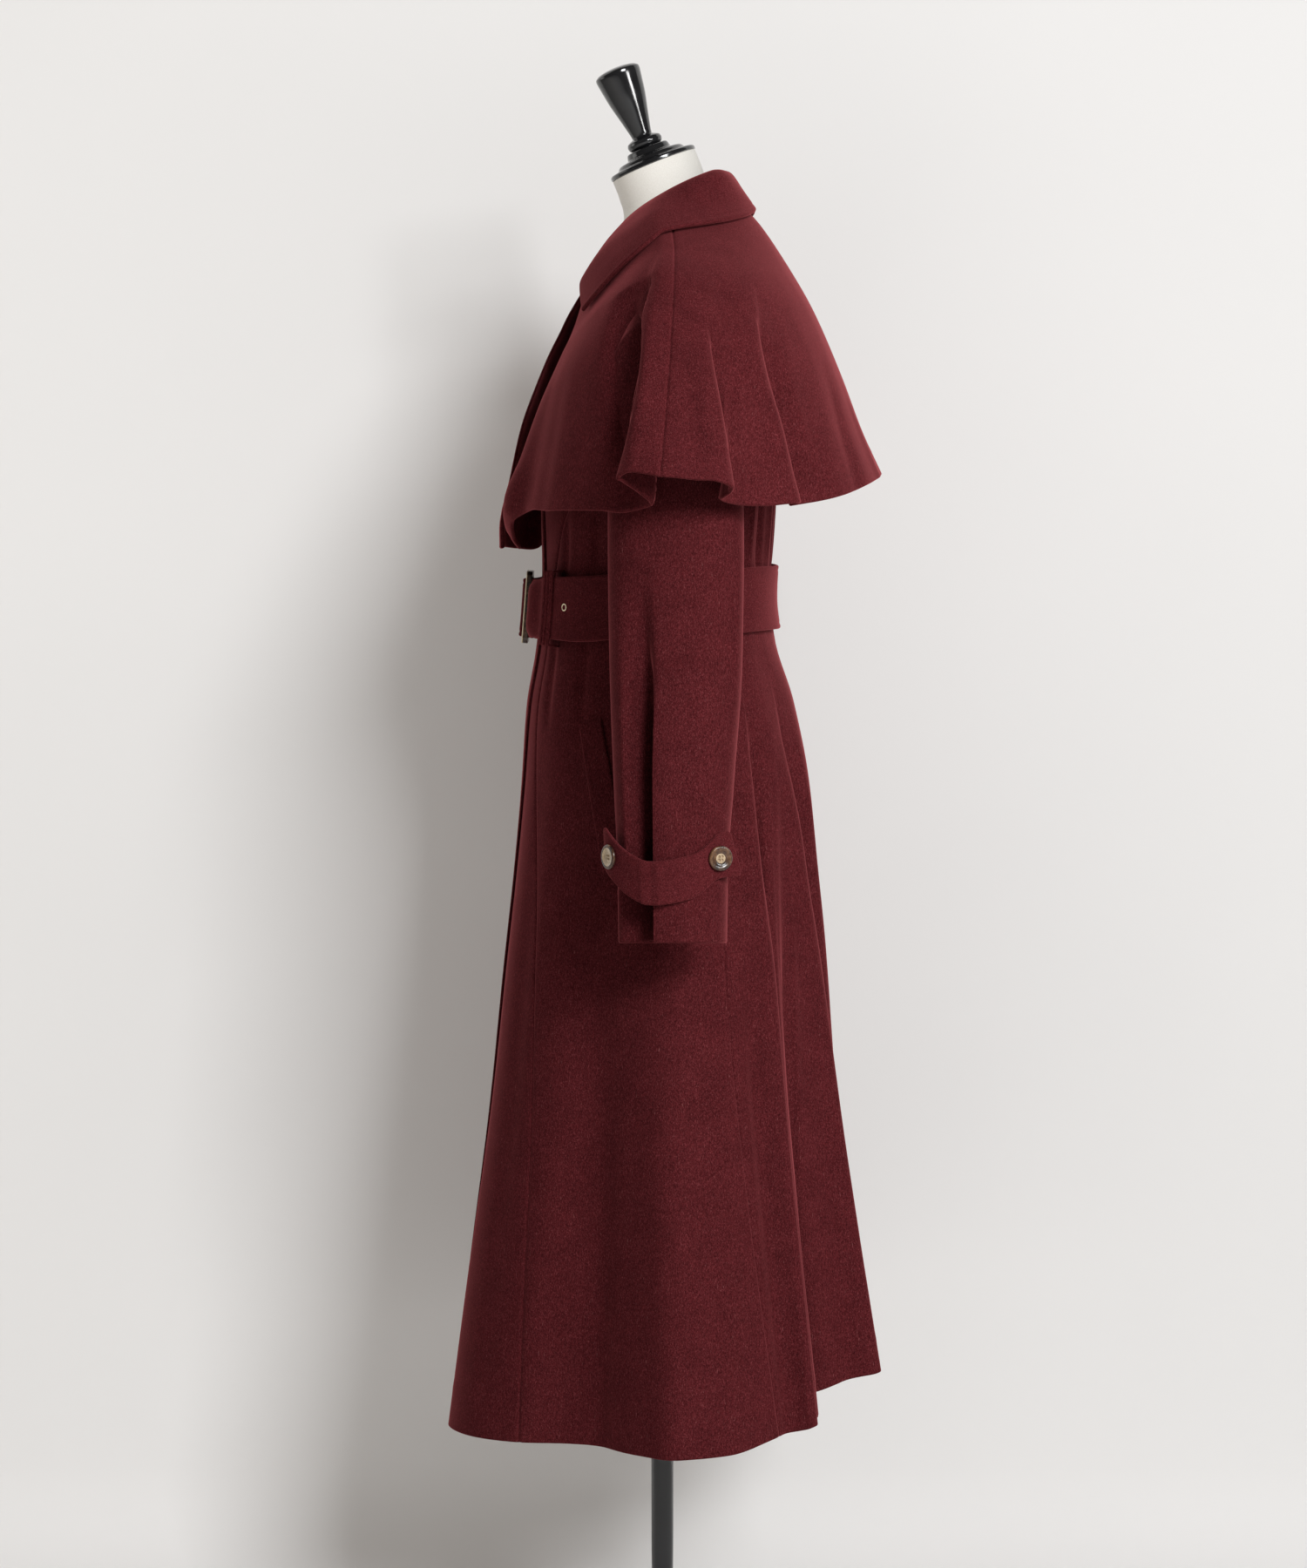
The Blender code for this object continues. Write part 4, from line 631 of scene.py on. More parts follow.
def panel_columns(lows, highs, per_low, per_high, count, edges=()):
    """Angles across a panel, row by row, close together at both of its edges and along the fold edges in it."""
    near = lows[:, None] + EDGE_STEPS / per_low[:, None]
    far = highs[:, None] - EDGE_STEPS[::-1] / per_high[:, None]
    per = (per_low + per_high)[:, None] / 2
    stops = [near[:, -1:]] + [line[:, None] for line, _ in edges] + [far[:, :1]]
    blocks = [near]
    for before, stop, after, (_, way) in zip(stops, stops[1:], stops[2:], edges):
        room = RIDGE_ROOM * per * np.minimum(stop - before, after - stop)
        steps = RIDGE_STEPS if way > 0 else -RIDGE_STEPS[::-1]
        blocks.append(stop + steps * np.clip(room / RIDGE_STEPS[-1], 0.0, 1.0) / per)
    blocks.append(far)
    gaps = [(b[:, 0] - a[:, -1]).mean() for a, b in zip(blocks, blocks[1:])]
    rows = []
    for a, b, gap in zip(blocks, blocks[1:], gaps):
        share = np.linspace(0, 1, max(3, round(count * gap / sum(gaps))) + 2)[1:-1]
        rows += [a, a[:, -1:] + (b[:, :1] - a[:, -1:]) * share]
    return np.concatenate(rows + [far], axis=1)


def fine_runs(first, length, count):
    """Runs from first to the hem, close together at the hem; length is the cloth's in one whole run."""
    last = 1.0 - EDGE_STEPS[::-1] / length
    return np.concatenate([np.linspace(first, last[0], count), last[1:]])


STITCHES, PRESSED_OPEN = Mark(-0.0012, 0.0, 0.0013), Mark(-0.0004, 0.0, 0.0060)
RAW_EDGE = Mark(0.00035, TURN_UP, 0.0022)
TURN_UP_SLOPE = 0.004


def seam_dip(away):
    """The groove where two panels are sewn and pressed open."""
    return marked(STITCHES, away) + marked(PRESSED_OPEN, away)


def turn_up(up):
    """The doubled hem: its extra thickness, and the faint mark of its raw edge on the face."""
    return (TURN_UP_THICK - CLOTH) * ease((TURN_UP - up) / TURN_UP_SLOPE), marked(RAW_EDGE, up)


# ---------------------------------------------------------------- materials
class Look:
    """A procedural material, put together node by node."""

    def __init__(self, name):
        self.mat = bpy.data.materials.new(name)
        self.mat.use_nodes = True
        self.tree = self.mat.node_tree
        self.shader = self.tree.nodes["Principled BSDF"]

    def put(self, socket, value):
        """Links another node's socket, or sets a constant."""
        if isinstance(value, bpy.types.NodeSocket):
            self.tree.links.new(value, socket)
        else:
            socket.default_value = (*value, 1) if socket.type == "RGBA" else value

    def node(self, kind, out, **values):
        """The named output of a new node, with its inputs set by name."""
        node = self.tree.nodes.new("ShaderNode" + kind)
        for name, value in values.items():
            self.put(node.inputs[name.replace("_", " ")], value)
        return node.outputs[out]

    def noise(self, scale, detail, rough, stretch=(1, 1, 1)):
        place = self.node("Mapping", "Vector", Vector=self.node("TexCoord", "Object"), Scale=stretch)
        return self.node("TexNoise", "Fac", Vector=place, Scale=scale, Detail=detail, Roughness=rough)

    def ramp(self, source, *stops):
        """Stops are places with a colour or a grey."""
        node = self.tree.nodes.new("ShaderNodeValToRGB")
        self.put(node.inputs["Fac"], source)
        elements = node.color_ramp.elements
        elements[0].position, elements[1].position = stops[0][0], stops[-1][0]
        for place, _ in stops[1:-1]:
            elements.new(place)
        for element, (_, colour) in zip(elements, stops):
            element.color = (*(colour if isinstance(colour, tuple) else (colour,) * 3), 1)
        return node.outputs["Color"]

    def mix(self, mode, factor, a, b):
        node = self.tree.nodes.new("ShaderNodeMix")
        node.data_type, node.blend_type = "RGBA", mode
        for place, value in ((0, factor), (6, a), (7, b)):
            self.put(node.inputs[place], value)
        return node.outputs[2]

    def spread(self, source, low, high, start=0.3, stop=0.7):
        return self.node("MapRange", "Result", Value=source, From_Min=start, From_Max=stop, To_Min=low, To_Max=high)

    def finish(self, colour, roughness, bumps=(), **values):
        """Joins everything to the shader; bumps are (height, strength, distance)."""
        values.update(Base_Color=colour, Roughness=roughness)
        for height, strength, distance in bumps:
            under = {"Normal": values["Normal"]} if "Normal" in values else {}
            values["Normal"] = self.node("Bump", "Normal", Height=height, Strength=strength, Distance=distance, **under)
        for name, value in values.items():
            self.put(self.shader.inputs[name.replace("_", " ")], value)
        return self.mat


NAP_PAINTED_SHEEN = (0.36, 0.080, 0.088)          # painted sheen: a paler red mixed into the colour where the cloth is seen edge-on, for the lit tips of the nap
PAINTED_PLEAT_SHADE = (0.34, 0.30, 0.30)   # painted shade: the colour the cloth is multiplied towards in the sleeve's deep pleat, where the mesh marks it
STRAY_FIBRE, STRAY_SHARE = (0.34, 0.12, 0.12), 0.34
WOOL_DARK, WOOL_MID, WOOL_LIGHT = (0.036, 0.0050, 0.0061), (0.083, 0.0115, 0.0139), (0.187, 0.0460, 0.0520)
LYING_DOWN = (1.0, 1.0, 0.45)       # fibres are longer down the cloth than across it


def wool_material(name, stretch=LYING_DOWN, shade=1.0):
    """Milled wool: fine fibres of mixed depth of colour in clumps, single pale ones, a painted sheen of the nap where
    the cloth is seen edge-on, and painted shade where the mesh marks a deep pleat.
    """
    look = Look(name)
    fibre, clump = (look.noise(scale, 3.0, 0.65, stretch) for scale in (1500.0, 640.0))
    cloud, stray = look.noise(34.0, 3.0, 0.55), look.noise(950.0, 1.0, 0.4, (1.0, 1.0, 0.16))
    dark, mid, light, nap = (tuple(c * shade for c in colour) for colour in (WOOL_DARK, WOOL_MID, WOOL_LIGHT, NAP_PAINTED_SHEEN))
    colour = look.mix("MULTIPLY", 0.85, look.ramp(fibre, (0.30, dark), (0.52, mid), (0.78, light)),
                      look.ramp(clump, (0.30, (0.58, 0.55, 0.55)), (0.70, (1.42, 1.43, 1.43))))
    colour = look.mix("MULTIPLY", 1.0, colour, look.ramp(cloud, (0.30, 0.90), (0.70, 1.10)))
    lone = look.spread(look.ramp(stray, (0.735, 0.0), (0.79, 1.0)), 0.0, STRAY_SHARE, 0.0, 1.0)
    colour = look.mix("MIX", lone, colour, STRAY_FIBRE)
    # painted sheen: the colour turns paler towards the edge-on view
    edge_on_sheen = look.ramp(look.node("LayerWeight", "Facing", Blend=0.5),
                     (0.42, 0.0), (0.60, 0.07), (0.80, 0.30), (0.97, 0.85))
    colour = look.mix("MIX", edge_on_sheen, colour, nap)
    # painted shade: darker where the mesh marks the sleeve's deep pleat
    pleat_shade_mask = look.tree.nodes.new("ShaderNodeAttribute")
    pleat_shade_mask.attribute_name = "pleat_shade_mask"
    colour = look.mix("MULTIPLY", pleat_shade_mask.outputs["Fac"], colour, PAINTED_PLEAT_SHADE)
    return look.finish(colour, look.spread(fibre, 0.82, 1.0), [(clump, 0.35, 0.0008), (fibre, 0.45, 0.0005)],
                       Specular_IOR_Level=0.02, Sheen_Weight=0.25, Sheen_Roughness=0.32, Sheen_Tint=(0.95, 0.20, 0.22))


def lacquer_material(name):
    """Black gloss lacquer with a faint haze and brush marks."""
    look = Look(name)
    haze, brush = look.noise(60.0, 4.0, 0.6), look.noise(260.0, 2.0, 0.5, (1.0, 1.0, 0.2))
    colour = look.ramp(haze, (0.3, (0.006, 0.006, 0.007)), (0.7, (0.010, 0.010, 0.011)))
    return look.finish(colour, look.spread(haze, 0.10, 0.20), [(brush, 0.08, 0.0003)],
                       Coat_Weight=0.35, Coat_Roughness=0.10)


def gold_material(name):
    """Thin gold plate, lightly worn."""
    look = Look(name)
    wear = look.noise(380.0, 4.0, 0.6)
    colour = look.ramp(wear, (0.3, (0.90, 0.74, 0.48)), (0.7, (0.99, 0.87, 0.64)))
    return look.finish(colour, look.spread(wear, 0.30, 0.44), [(wear, 0.06, 0.0002)], Metallic=0.50)


def horn_material(name, pale, dark=(0.020, 0.011, 0.008), amber=(0.075, 0.034, 0.016)):
    """Mottled horn: dark body with drifting amber patches."""
    look = Look(name)
    drift, fleck = look.noise(95.0, 3.0, 0.6, (1.0, 1.0, 0.55)), look.noise(520.0, 3.0, 0.6)
    colour = look.mix("MULTIPLY", 0.6, look.ramp(drift, (0.36, dark), (0.52, amber), (0.68, pale)),
                      look.ramp(fleck, (0.3, (0.72, 0.70, 0.66)), (0.7, 1.15)))
    return look.finish(colour, look.spread(fleck, 0.20, 0.36), [(fleck, 0.05, 0.0002)],
                       Coat_Weight=0.3, Coat_Roughness=0.12)


def form_material(name):
    """The form's cover: fine off-white plain weave."""
    look = Look(name)
    weave, slub = look.noise(900.0, 2.0, 0.5), look.noise(520.0, 2.0, 0.5, (1.0, 1.0, 0.12))
    colour = look.mix("MULTIPLY", 0.5, look.ramp(weave, (0.3, (0.79, 0.765, 0.71)), (0.7, (0.85, 0.83, 0.78))),
                      look.ramp(look.noise(22.0, 2.0, 0.5), (0.3, (0.94, 0.93, 0.91)), (0.7, 1.03)))
    return look.finish(colour, look.spread(weave, 0.78, 0.92), [(weave, 0.22, 0.0004), (slub, 0.16, 0.0004)],
                       Specular_IOR_Level=0.2, Sheen_Weight=0.1)


WOOL = wool_material("wool_melton")
WOOL_COAT_PAINTED_SHADE = wool_material("wool_melton_coat", shade=0.89)   # a darker copy of the cape's wool: painted shade, as the light falls off lower down on the coat
WOOL_ACROSS = wool_material("wool_melton_across", (1.0, 1.0, 1.0))
LACQUER = lacquer_material("black_lacquer_gloss")
GOLD = gold_material("gold_plate_worn")
HORN = horn_material("horn_buckle", (0.150, 0.072, 0.030))
HORN_BUTTON = horn_material("horn_button", (0.230, 0.110, 0.045))
HORN_MIDDLE = horn_material("horn_button_pale_middle", (0.66, 0.52, 0.36), (0.36, 0.26, 0.16), (0.55, 0.42, 0.27))
FORM_CLOTH = form_material("form_cover_cloth")


# ---------------------------------------------------------------- coat body
COAT_LENGTH = 1.27            # metres of cloth in one run of the coat
PANEL_ROWS = 150
FRONT_HEM_SHARE = 0.9         # the fronts' turned-up hems are pressed a little flatter
LAP_SLOPE = 1 / 5             # beyond the lap the upper front settles within this share of its width
FRONT_COLUMNS, SIDE_COLUMNS, BACK_COLUMNS = 44, 60, 64


def arc(away):
    """The height of a unit circle at some way from its middle."""
    return np.sqrt(np.clip(1 - away ** 2, 0, 1))


def panel_edge(runs, column):
    """The inner edge of a front (0) or a back (1): along the armhole, then along its seam."""
    reach = (-1, 1)[column] * ARMHOLE_HALF_ANGLE * arc((runs - ARMHOLE_RUN) / ARMHOLE_HALF_RUN)
    return np.where(runs <= JOIN_RUN - 1e-6, 90.0 + reach, seam_track(runs)[:, column])


def panel_grid(runs, lows, highs, count, edges=()):
    per_low, per_high = COAT.metres_across(lows, runs), COAT.metres_across(highs, runs)
    angles = panel_columns(lows, highs, per_low, per_high, count, edges)
    return angles, runs[:, None] + np.zeros_like(angles)


def sewn_panel(kind, side, angles, runs, lows, highs):
    """A back or side panel, sewn at both edges: one cut for both sides, each with its own folds."""
    lows, highs = lows[:, None], highs[:, None]
    if side == "right":
        angles, runs, lows, highs = (360.0 - angles)[:, ::-1], runs[:, ::-1], 360.0 - highs, 360.0 - lows
    across = COAT.metres_across(angles, runs)
    up = (1.0 - runs) * COAT_LENGTH
    thick, mark = turn_up(up)
    out = mark + swell(angles, runs, COAT_CREASES, across) + ridges_out(angles, runs, COAT_RIDGES, across)
    out = out + seam_dip((highs - angles) * across) + seam_dip((angles - lows) * across)
    piece = cloth("wool_%s_%s" % (kind, side), COAT.point(angles, runs, out), CLOTH + thick, up, WOOL_COAT_PAINTED_SHADE)
    return dressed(piece, "coat_%s_%s" % (kind, side))


def coat_front(side):
    """The right front laps over the left at the centre front."""
    right = side == "right"
    runs = fine_runs(0.0, COAT_LENGTH, PANEL_ROWS)
    laps, highs = FRONT_LAP / COAT.metres_across(0.0, runs), panel_edge(runs, 0)
    angles, grid = panel_grid(runs, -laps, highs, FRONT_COLUMNS)
    over = (highs - laps)[:, None] * LAP_SLOPE
    lift = (CLOTH + TOUCH) * ease((laps[:, None] + over - angles) / over) if right else np.zeros_like(angles)
    across = COAT.metres_across(angles, grid)
    to_free, to_seam = (angles + laps[:, None]) * across, (highs[:, None] - angles) * across
    angles, lift, to_free, to_seam, across = flipped(right, 360.0 - angles if right else angles,
                                                     lift, to_free, to_seam, across)
    up = (1.0 - grid) * COAT_LENGTH
    thick, mark = turn_up(up)
    out = lift + mark + swell(angles % 360.0, grid, COAT_CREASES, across) + seam_dip(to_seam)
    piece = cloth("wool_front_" + side, COAT.point(angles, grid, out), CLOTH + thick * FRONT_HEM_SHARE,
                  np.minimum(up, to_free), WOOL_COAT_PAINTED_SHADE)
    return dressed(piece, "coat_front_" + side)


def coat_back(side):
    runs = fine_runs(0.0, COAT_LENGTH, PANEL_ROWS)
    lows, highs = panel_edge(runs, 1), np.full(len(runs), 180.0)
    edges = crossing(runs, lows, highs, COAT_RIDGES, side == "right")
    return sewn_panel("back", side, *panel_grid(runs, lows, highs, BACK_COLUMNS, edges), lows, highs)


def coat_side(side):
    """The side panel's top is the foot of the armhole."""
    runs = fine_runs(JOIN_RUN, COAT_LENGTH, PANEL_ROWS - 20)
    lows, highs = seam_track(runs).T
    angles, grid = panel_grid(runs, lows, highs, SIDE_COLUMNS)
    top = ARMHOLE_RUN + ARMHOLE_HALF_RUN * arc((angles[0] - 90.0) / ARMHOLE_HALF_ANGLE)
    top[0] = top[-1] = JOIN_RUN
    grid = grid + np.clip((SETTLE_RUN - grid) / (SETTLE_RUN - JOIN_RUN), 0, 1) * (top - JOIN_RUN)
    return sewn_panel("side", side, angles, grid, lows, highs)


WELT_TOP, WELT_FOOT = (53.5, 0.446), (68.5, 0.574)   # angle and run of its front edge's ends
WELT_ACROSS, WELT_RISE = 10.5, 0.004                 # its back edge: degrees further round, and a little higher
WELT_THICK, WELT_WIDTH, WELT_LENGTH = 0.0022, 0.032, 0.195
WELT_STITCHES = Mark(-0.0006, 0.004, 0.0012)


def pocket_welt(side):
    """The pocket's band: folded at its front edge, sewn down at its ends."""
    right = side == "right"
    across, down = np.meshgrid(np.linspace(0, 1, 22), np.linspace(0, 1, 60))
    angles, runs = (top + (foot - top) * down for top, foot in zip(WELT_TOP, WELT_FOOT))
    angles, runs = angles + WELT_ACROSS * across, runs - WELT_RISE * across
    to_end = np.minimum(down, 1 - down) * WELT_LENGTH
    edge = np.minimum(np.minimum(across, 1 - across) * WELT_WIDTH, to_end)
    sewn = marked(WELT_STITCHES, to_end)
    angles, runs, edge, sewn = flipped(right, 360.0 - angles if right else angles, runs, edge, sewn)
    outer = COAT.point(angles, runs, TOUCH + WELT_THICK + sewn)
    piece = cloth("wool_pocket_welt_" + side, outer, WELT_THICK + 0 * runs, edge, WOOL_COAT_PAINTED_SHADE)
    return dressed(piece, "pocket_welt_" + side)


# ---------------------------------------------------------------- sleeves, cuff straps and buttons
SLEEVE_SEAT = 1.115           # the sleeve head's ring on the coat, as a share of the armhole
SLEEVE_LENGTH = 0.62          # metres in one whole place
SLEEVE_PER_DEGREE = 0.00092   # metres round a sleeve
SLEEVE_HEAD_ROWS = 7
SLEEVE_HEM_SHARE = 0.6
PLEAT_TURN = 68.0             # the pleat's edge, in front of the sleeve's outermost line
PLEAT_DEEP, PLEAT_UNDER, PLEAT_PER_DEGREE = 0.0330, 0.0085, 0.00088
SLEEVE_SEAMS = (139.0, 318.0)
SLEEVE_DIP = 0.35             # its seams' share of a coat seam's groove
SEAM_TURNS = np.array([-2.2, -1.1, -0.4, 0.4, 1.1, 2.2])
TO_RIGHT = np.array([-1.0, 1.0, 1.0])


def turned_to(turns):
    return np.sin(np.radians(turns)), np.cos(np.radians(turns))


def mirrored(right, grid):
    return grid[:, ::-1] * TO_RIGHT if right else grid


def pleat(turns, places):
    """The trough down the sleeve's front: how deep the cloth goes, how far back under the edge, and how much painted
    shade its floor gets.
    """
    grown = ease((places - 0.44) / 0.36)
    sharp = ease((places - 0.55) / 0.22)
    recessed = ease((places - 0.88) / 0.05)                     # under the strap the whole front part stays in
    before = (PLEAT_TURN - turns) * PLEAT_PER_DEGREE            # metres in front of the pleat's edge
    step = 0.0140 - 0.0110 * sharp                              # the wall's own width, narrow lower down
    go_in = ease((before + 0.35 * step) / step)
    recover = 1 - ease((before - 0.010 - 0.006 * recessed) / (0.0230 + 0.0150 * recessed))
    inside = grown * go_in * recover
    under = PLEAT_UNDER * grown * sharp * go_in * (1 - ease((before - 0.003) / 0.018))
    return PLEAT_DEEP * inside, under, sharp * inside ** 1.5


def sleeve(side):
    right = side == "right"
    turns = np.arange(0, 360, 3.0)
    turns = np.sort(np.concatenate([turns[turns < 32], np.arange(32.2, 72.0, 1.0), turns[turns > 72],
                                    PLEAT_TURN + np.array([-1.6, -0.5, 0.5, 1.4])]
                                   + [seam + SEAM_TURNS for seam in SLEEVE_SEAMS]))
    grid_turns, places = np.meshgrid(turns, fine_runs(0.10, SLEEVE_LENGTH, 120))
    up = (1.0 - places) * SLEEVE_LENGTH
    thick, mark = turn_up(up)
    groove, under, pleat_shade_mask = pleat(grid_turns, places)
    off = mark + swell(grid_turns, places, SLEEVE_CREASES, SLEEVE_PER_DEGREE) - groove
    for seam in SLEEVE_SEAMS:
        off = off + SLEEVE_DIP * seam_dip((grid_turns - seam) * SLEEVE_PER_DEGREE)
    x, y, half_x, half_y, z, lift = np.moveaxis(tube_track(places), -1, 0)
    s, c = turned_to(grid_turns)
    tube = np.stack([x + (half_x + off) * s, y - (half_y + off) * c + under, z + lift * s], axis=-1)
    s, c = turned_to(turns)
    head = COAT.point(90.0 - ARMHOLE_HALF_ANGLE * SLEEVE_SEAT * c,
                      ARMHOLE_RUN - ARMHOLE_HALF_RUN * SLEEVE_SEAT * s, 2 * TOUCH)
    steps = np.linspace(0, 1, SLEEVE_HEAD_ROWS + 1)[:-1, None, None]
    outer = np.concatenate([head[None] + (tube[0] - head)[None] * steps, tube])
    edge, full, pleat_shade_mask = (np.concatenate([np.full((SLEEVE_HEAD_ROWS, len(turns)), at_head), rest])
                          for at_head, rest in ((1.0, up), (CLOTH, CLOTH + thick * SLEEVE_HEM_SHARE), (0.0, pleat_shade_mask)))
    edge, full, pleat_shade_mask = flipped(right, edge, full, pleat_shade_mask)
    piece = cloth("wool_sleeve_" + side, mirrored(right, outer), full, edge, WOOL_COAT_PAINTED_SHADE, wrap=True, pleat_shade_mask=pleat_shade_mask)
    return dressed(piece, "sleeve_" + side)


STRAP_LENGTH = 0.175
STRAP_CORNER = 0.006
STRAP_END_LEAN = 0.015        # the strap's back end stands out more at its lower corner
STRAP_WAVES = [Mark(height, place, 0.012)
               for height, place in ((0.0007, 0.40), (-0.0009, 0.45), (0.0006, 0.49), (-0.0006, 0.70))]
STRAP_PADDING, STRAP_STITCHES = Mark(0.0004, 0.009, 0.006), Mark(-0.0004, 0.0055, 0.0010)
LOWER_SLEEVE = SLEEVE_TUBES[:-4:-1]


def strap_point(place, across, off):
    """A point on the cuff strap: place along it, across from -0.5 to 0.5, off its inner face."""
    turn, z, stand = np.moveaxis(strap_track(place), -1, 0)
    z = z + across * STRAP_WIDTH
    stand = stand - across * STRAP_END_LEAN * ease((place - 0.76) / 0.24)
    down = np.interp(z, [t.z for t in LOWER_SLEEVE], [t.place for t in LOWER_SLEEVE])
    x, y, half_x, half_y = np.moveaxis(tube_track(down), -1, 0)[:4]
    s, c = turned_to(turn)
    return np.stack([x + (half_x + stand + off) * s, y - (half_y + stand + off) * c, z], axis=-1)


def cuff_strap(side):
    right = side == "right"
    along_it = between_edges(0.0, 1.0, np.linspace(0.035, 0.965, 90), STRAP_LENGTH)
    across = between_edges(0.0, STRAP_WIDTH, np.linspace(0.007, STRAP_WIDTH - 0.007, 16)) / STRAP_WIDTH
    places, rows = np.meshgrid(along_it, 0.5 - across)
    end = np.minimum(places, 1 - places) * STRAP_LENGTH
    cut = STRAP_CORNER * (1 - arc(np.clip(1 - end / STRAP_CORNER, 0, 1)))
    rows = rows * (1 - 2 * cut / STRAP_WIDTH)
    edge = np.minimum(end, (0.5 - np.abs(0.5 - across))[:, None] * STRAP_WIDTH)
    off = STRAP_THICK + marked(STRAP_PADDING, edge) + marked(STRAP_STITCHES, edge)
    off = off + sum(marked(wave, places) for wave in STRAP_WAVES)
    outer = mirrored(right, strap_point(places, rows, off))
    edge, = flipped(right, edge)
    piece = cloth("wool_cuff_strap_" + side, outer, STRAP_THICK + 0 * edge, edge, WOOL_ACROSS)
    return dressed(piece, "cuff_strap_" + side)


Button = namedtuple("Button", "label place off swing pale")   # swing: a loose one turns round on its thread
BUTTONS = [Button("front", 0.12, 0.0004, 0.0, 0.0086), Button("back", 0.815, 0.0040, -24.0, 0.0046)]
HOLE_OUT, HOLE_RADIUS, HOLE_DEPTH = 0.002185, 0.00110, 0.0014
BUTTON_STEPS = 60
button_face = along([(0.0, 0.0019), (0.0046, 0.0019), (0.0062, 0.0021), (0.0078, 0.0028), (0.0092, BUTTON_THICK),
                     (0.0106, 0.0031), (0.0114, 0.0025), (BUTTON_RADIUS, 0.0017)])
BUTTON_FOOT = [(BUTTON_RADIUS - 0.0001, 0.0012), (BUTTON_RADIUS - 0.0006, 0.0005), (BUTTON_RADIUS - 0.0014, 0.0)]


def button_frame(button, side):
    """Centre and axes of a button: across the strap's face, up, and away from it."""
    base, before, after = (strap_point(button.place + step, 0.0, STRAP_THICK) for step in (0.0, -0.04, 0.04))
    up = np.array([0.0, 0.0, 1.0])
    away = unit(np.cross(after - before, up))
    base = base + away * button.off
    swing = math.radians(button.swing)
    away = away * math.cos(swing) + np.array([-away[1], away[0], 0.0]) * math.sin(swing)
    if side == "right":
        base, away = base * TO_RIGHT, away * TO_RIGHT
    return base, np.cross(up, away), up, away


def button_height(radius, turn):
    """Height of the button's face: a dished middle with four holes inside a rounded rim."""
    height = button_face(radius)[..., 0]
    x, y = radius * np.cos(turn), radius * np.sin(turn)
    out = HOLE_OUT / math.sqrt(2)
    for hole_x, hole_y in ((out, out), (out, -out), (-out, out), (-out, -out)):
        away = np.hypot(x - hole_x, y - hole_y)
        height = height - HOLE_DEPTH * ease((HOLE_RADIUS * 1.25 - away) / (HOLE_RADIUS * 0.5))
    return height


def cuff_button(side, button):
    base, across, up, away = button_frame(button, side)
    turns = np.arange(BUTTON_STEPS) * 2 * math.pi / BUTTON_STEPS
    radii = np.concatenate([np.linspace(0.0, 0.0036, 19)[1:], np.linspace(0.0040, BUTTON_RADIUS, 26)])
    grid_r, grid_t = np.meshgrid(radii, turns, indexing="ij")
    heights = button_height(grid_r, grid_t)
    for radius, height in BUTTON_FOOT:
        grid_r, grid_t = np.vstack([grid_r, 0 * turns + radius]), np.vstack([grid_t, turns])
        heights = np.vstack([heights, 0 * turns + height])
    x, y = grid_r * np.cos(grid_t), grid_r * np.sin(grid_t)
    rings = base + x[..., None] * across + y[..., None] * up + heights[..., None] * away
    middle = base + away * float(button_height(np.array(0.0), 0.0))
    piece = spindle("horn_cuff_button_%s_%s" % (button.label, side), middle, rings, base, HORN_BUTTON)
    piece.data.materials.append(HORN_MIDDLE)
    for polygon in piece.data.polygons:
        centre = np.mean([piece.data.vertices[v].co for v in polygon.vertices], axis=0) - base
        if math.hypot(centre @ across, centre @ up) < button.pale and centre @ away > 0.0004:
            polygon.material_index = 1
    return dressed(piece, "cuff_button_%s_%s" % (button.label, side))


# ---------------------------------------------------------------- cape and collar
CAPE_SHOULDER = 95.0          # the shoulder seams' angle
CAPE_LENGTH = 0.30            # metres in one whole run
CAPE_FRONT_COLUMNS, CAPE_BACK_COLUMNS = 130, 230
CAPE_ROWS = 80
# the fronts roll forward above the hem, and the near one's hem turns in again
front_roll = along([(0.0, 0.0), (0.45, 0.0), (0.75, 0.0050), (0.90, 0.0105), (0.96, 0.0080), (1.0, -0.0030)])
far_front_roll = along([(0.0, 0.0), (0.45, 0.0), (0.75, 0.0040), (0.90, 0.0060), (1.0, 0.0010)])


def cape_panel(part, low_at, high_at, columns, free_low=False, free_high=False, over=False):
    """A panel of the cape between two edges; low_at and high_at give their angles at each run."""
    garment = CAPE_OVER if over else CAPE
    runs = fine_runs(0.0, CAPE_LENGTH, CAPE_ROWS)
    low, high = low_at(runs), high_at(runs)
    inside = np.clip([low + 0.6, high - 0.6], low.min(), high.max())
    per_low, per_high = (garment.metres_across(line, runs) for line in inside)
    angles = panel_columns(low, high, per_low, per_high, columns, crossing(runs, low, high, CAPE_RIDGES))
    grid = runs[:, None] + np.zeros_like(angles)
    across = garment.metres_across(angles, grid)
    to_low, to_high = (angles - low[:, None]) * per_low[:, None], (high[:, None] - angles) * per_high[:, None]
    up = (1.0 - grid) * CAPE_LENGTH
    thick, mark = turn_up(up)
    out = mark + swell(angles, grid, CAPE_CREASES, across) + ridges_out(angles, grid, CAPE_RIDGES, across)
    front = 1 - ease((np.abs((angles + 180.0) % 360.0 - 180.0) - 18.0) / 16.0)
    out = out + (far_front_roll if over else front_roll)(grid)[..., 0] * front
    out = out + (0.0 if free_low else seam_dip(to_low)) + (0.0 if free_high else seam_dip(to_high))
    if over:
        out = out + rise_track(grid)[..., 0] * ease((angles - 320.0) / 28.0)
    edge = np.minimum(up, np.minimum(to_low if free_low else up, to_high if free_high else up))
    piece = cloth("wool_" + part, garment.point(angles, grid, out), CLOTH + thick, edge, WOOL)
    return dressed(piece, part)


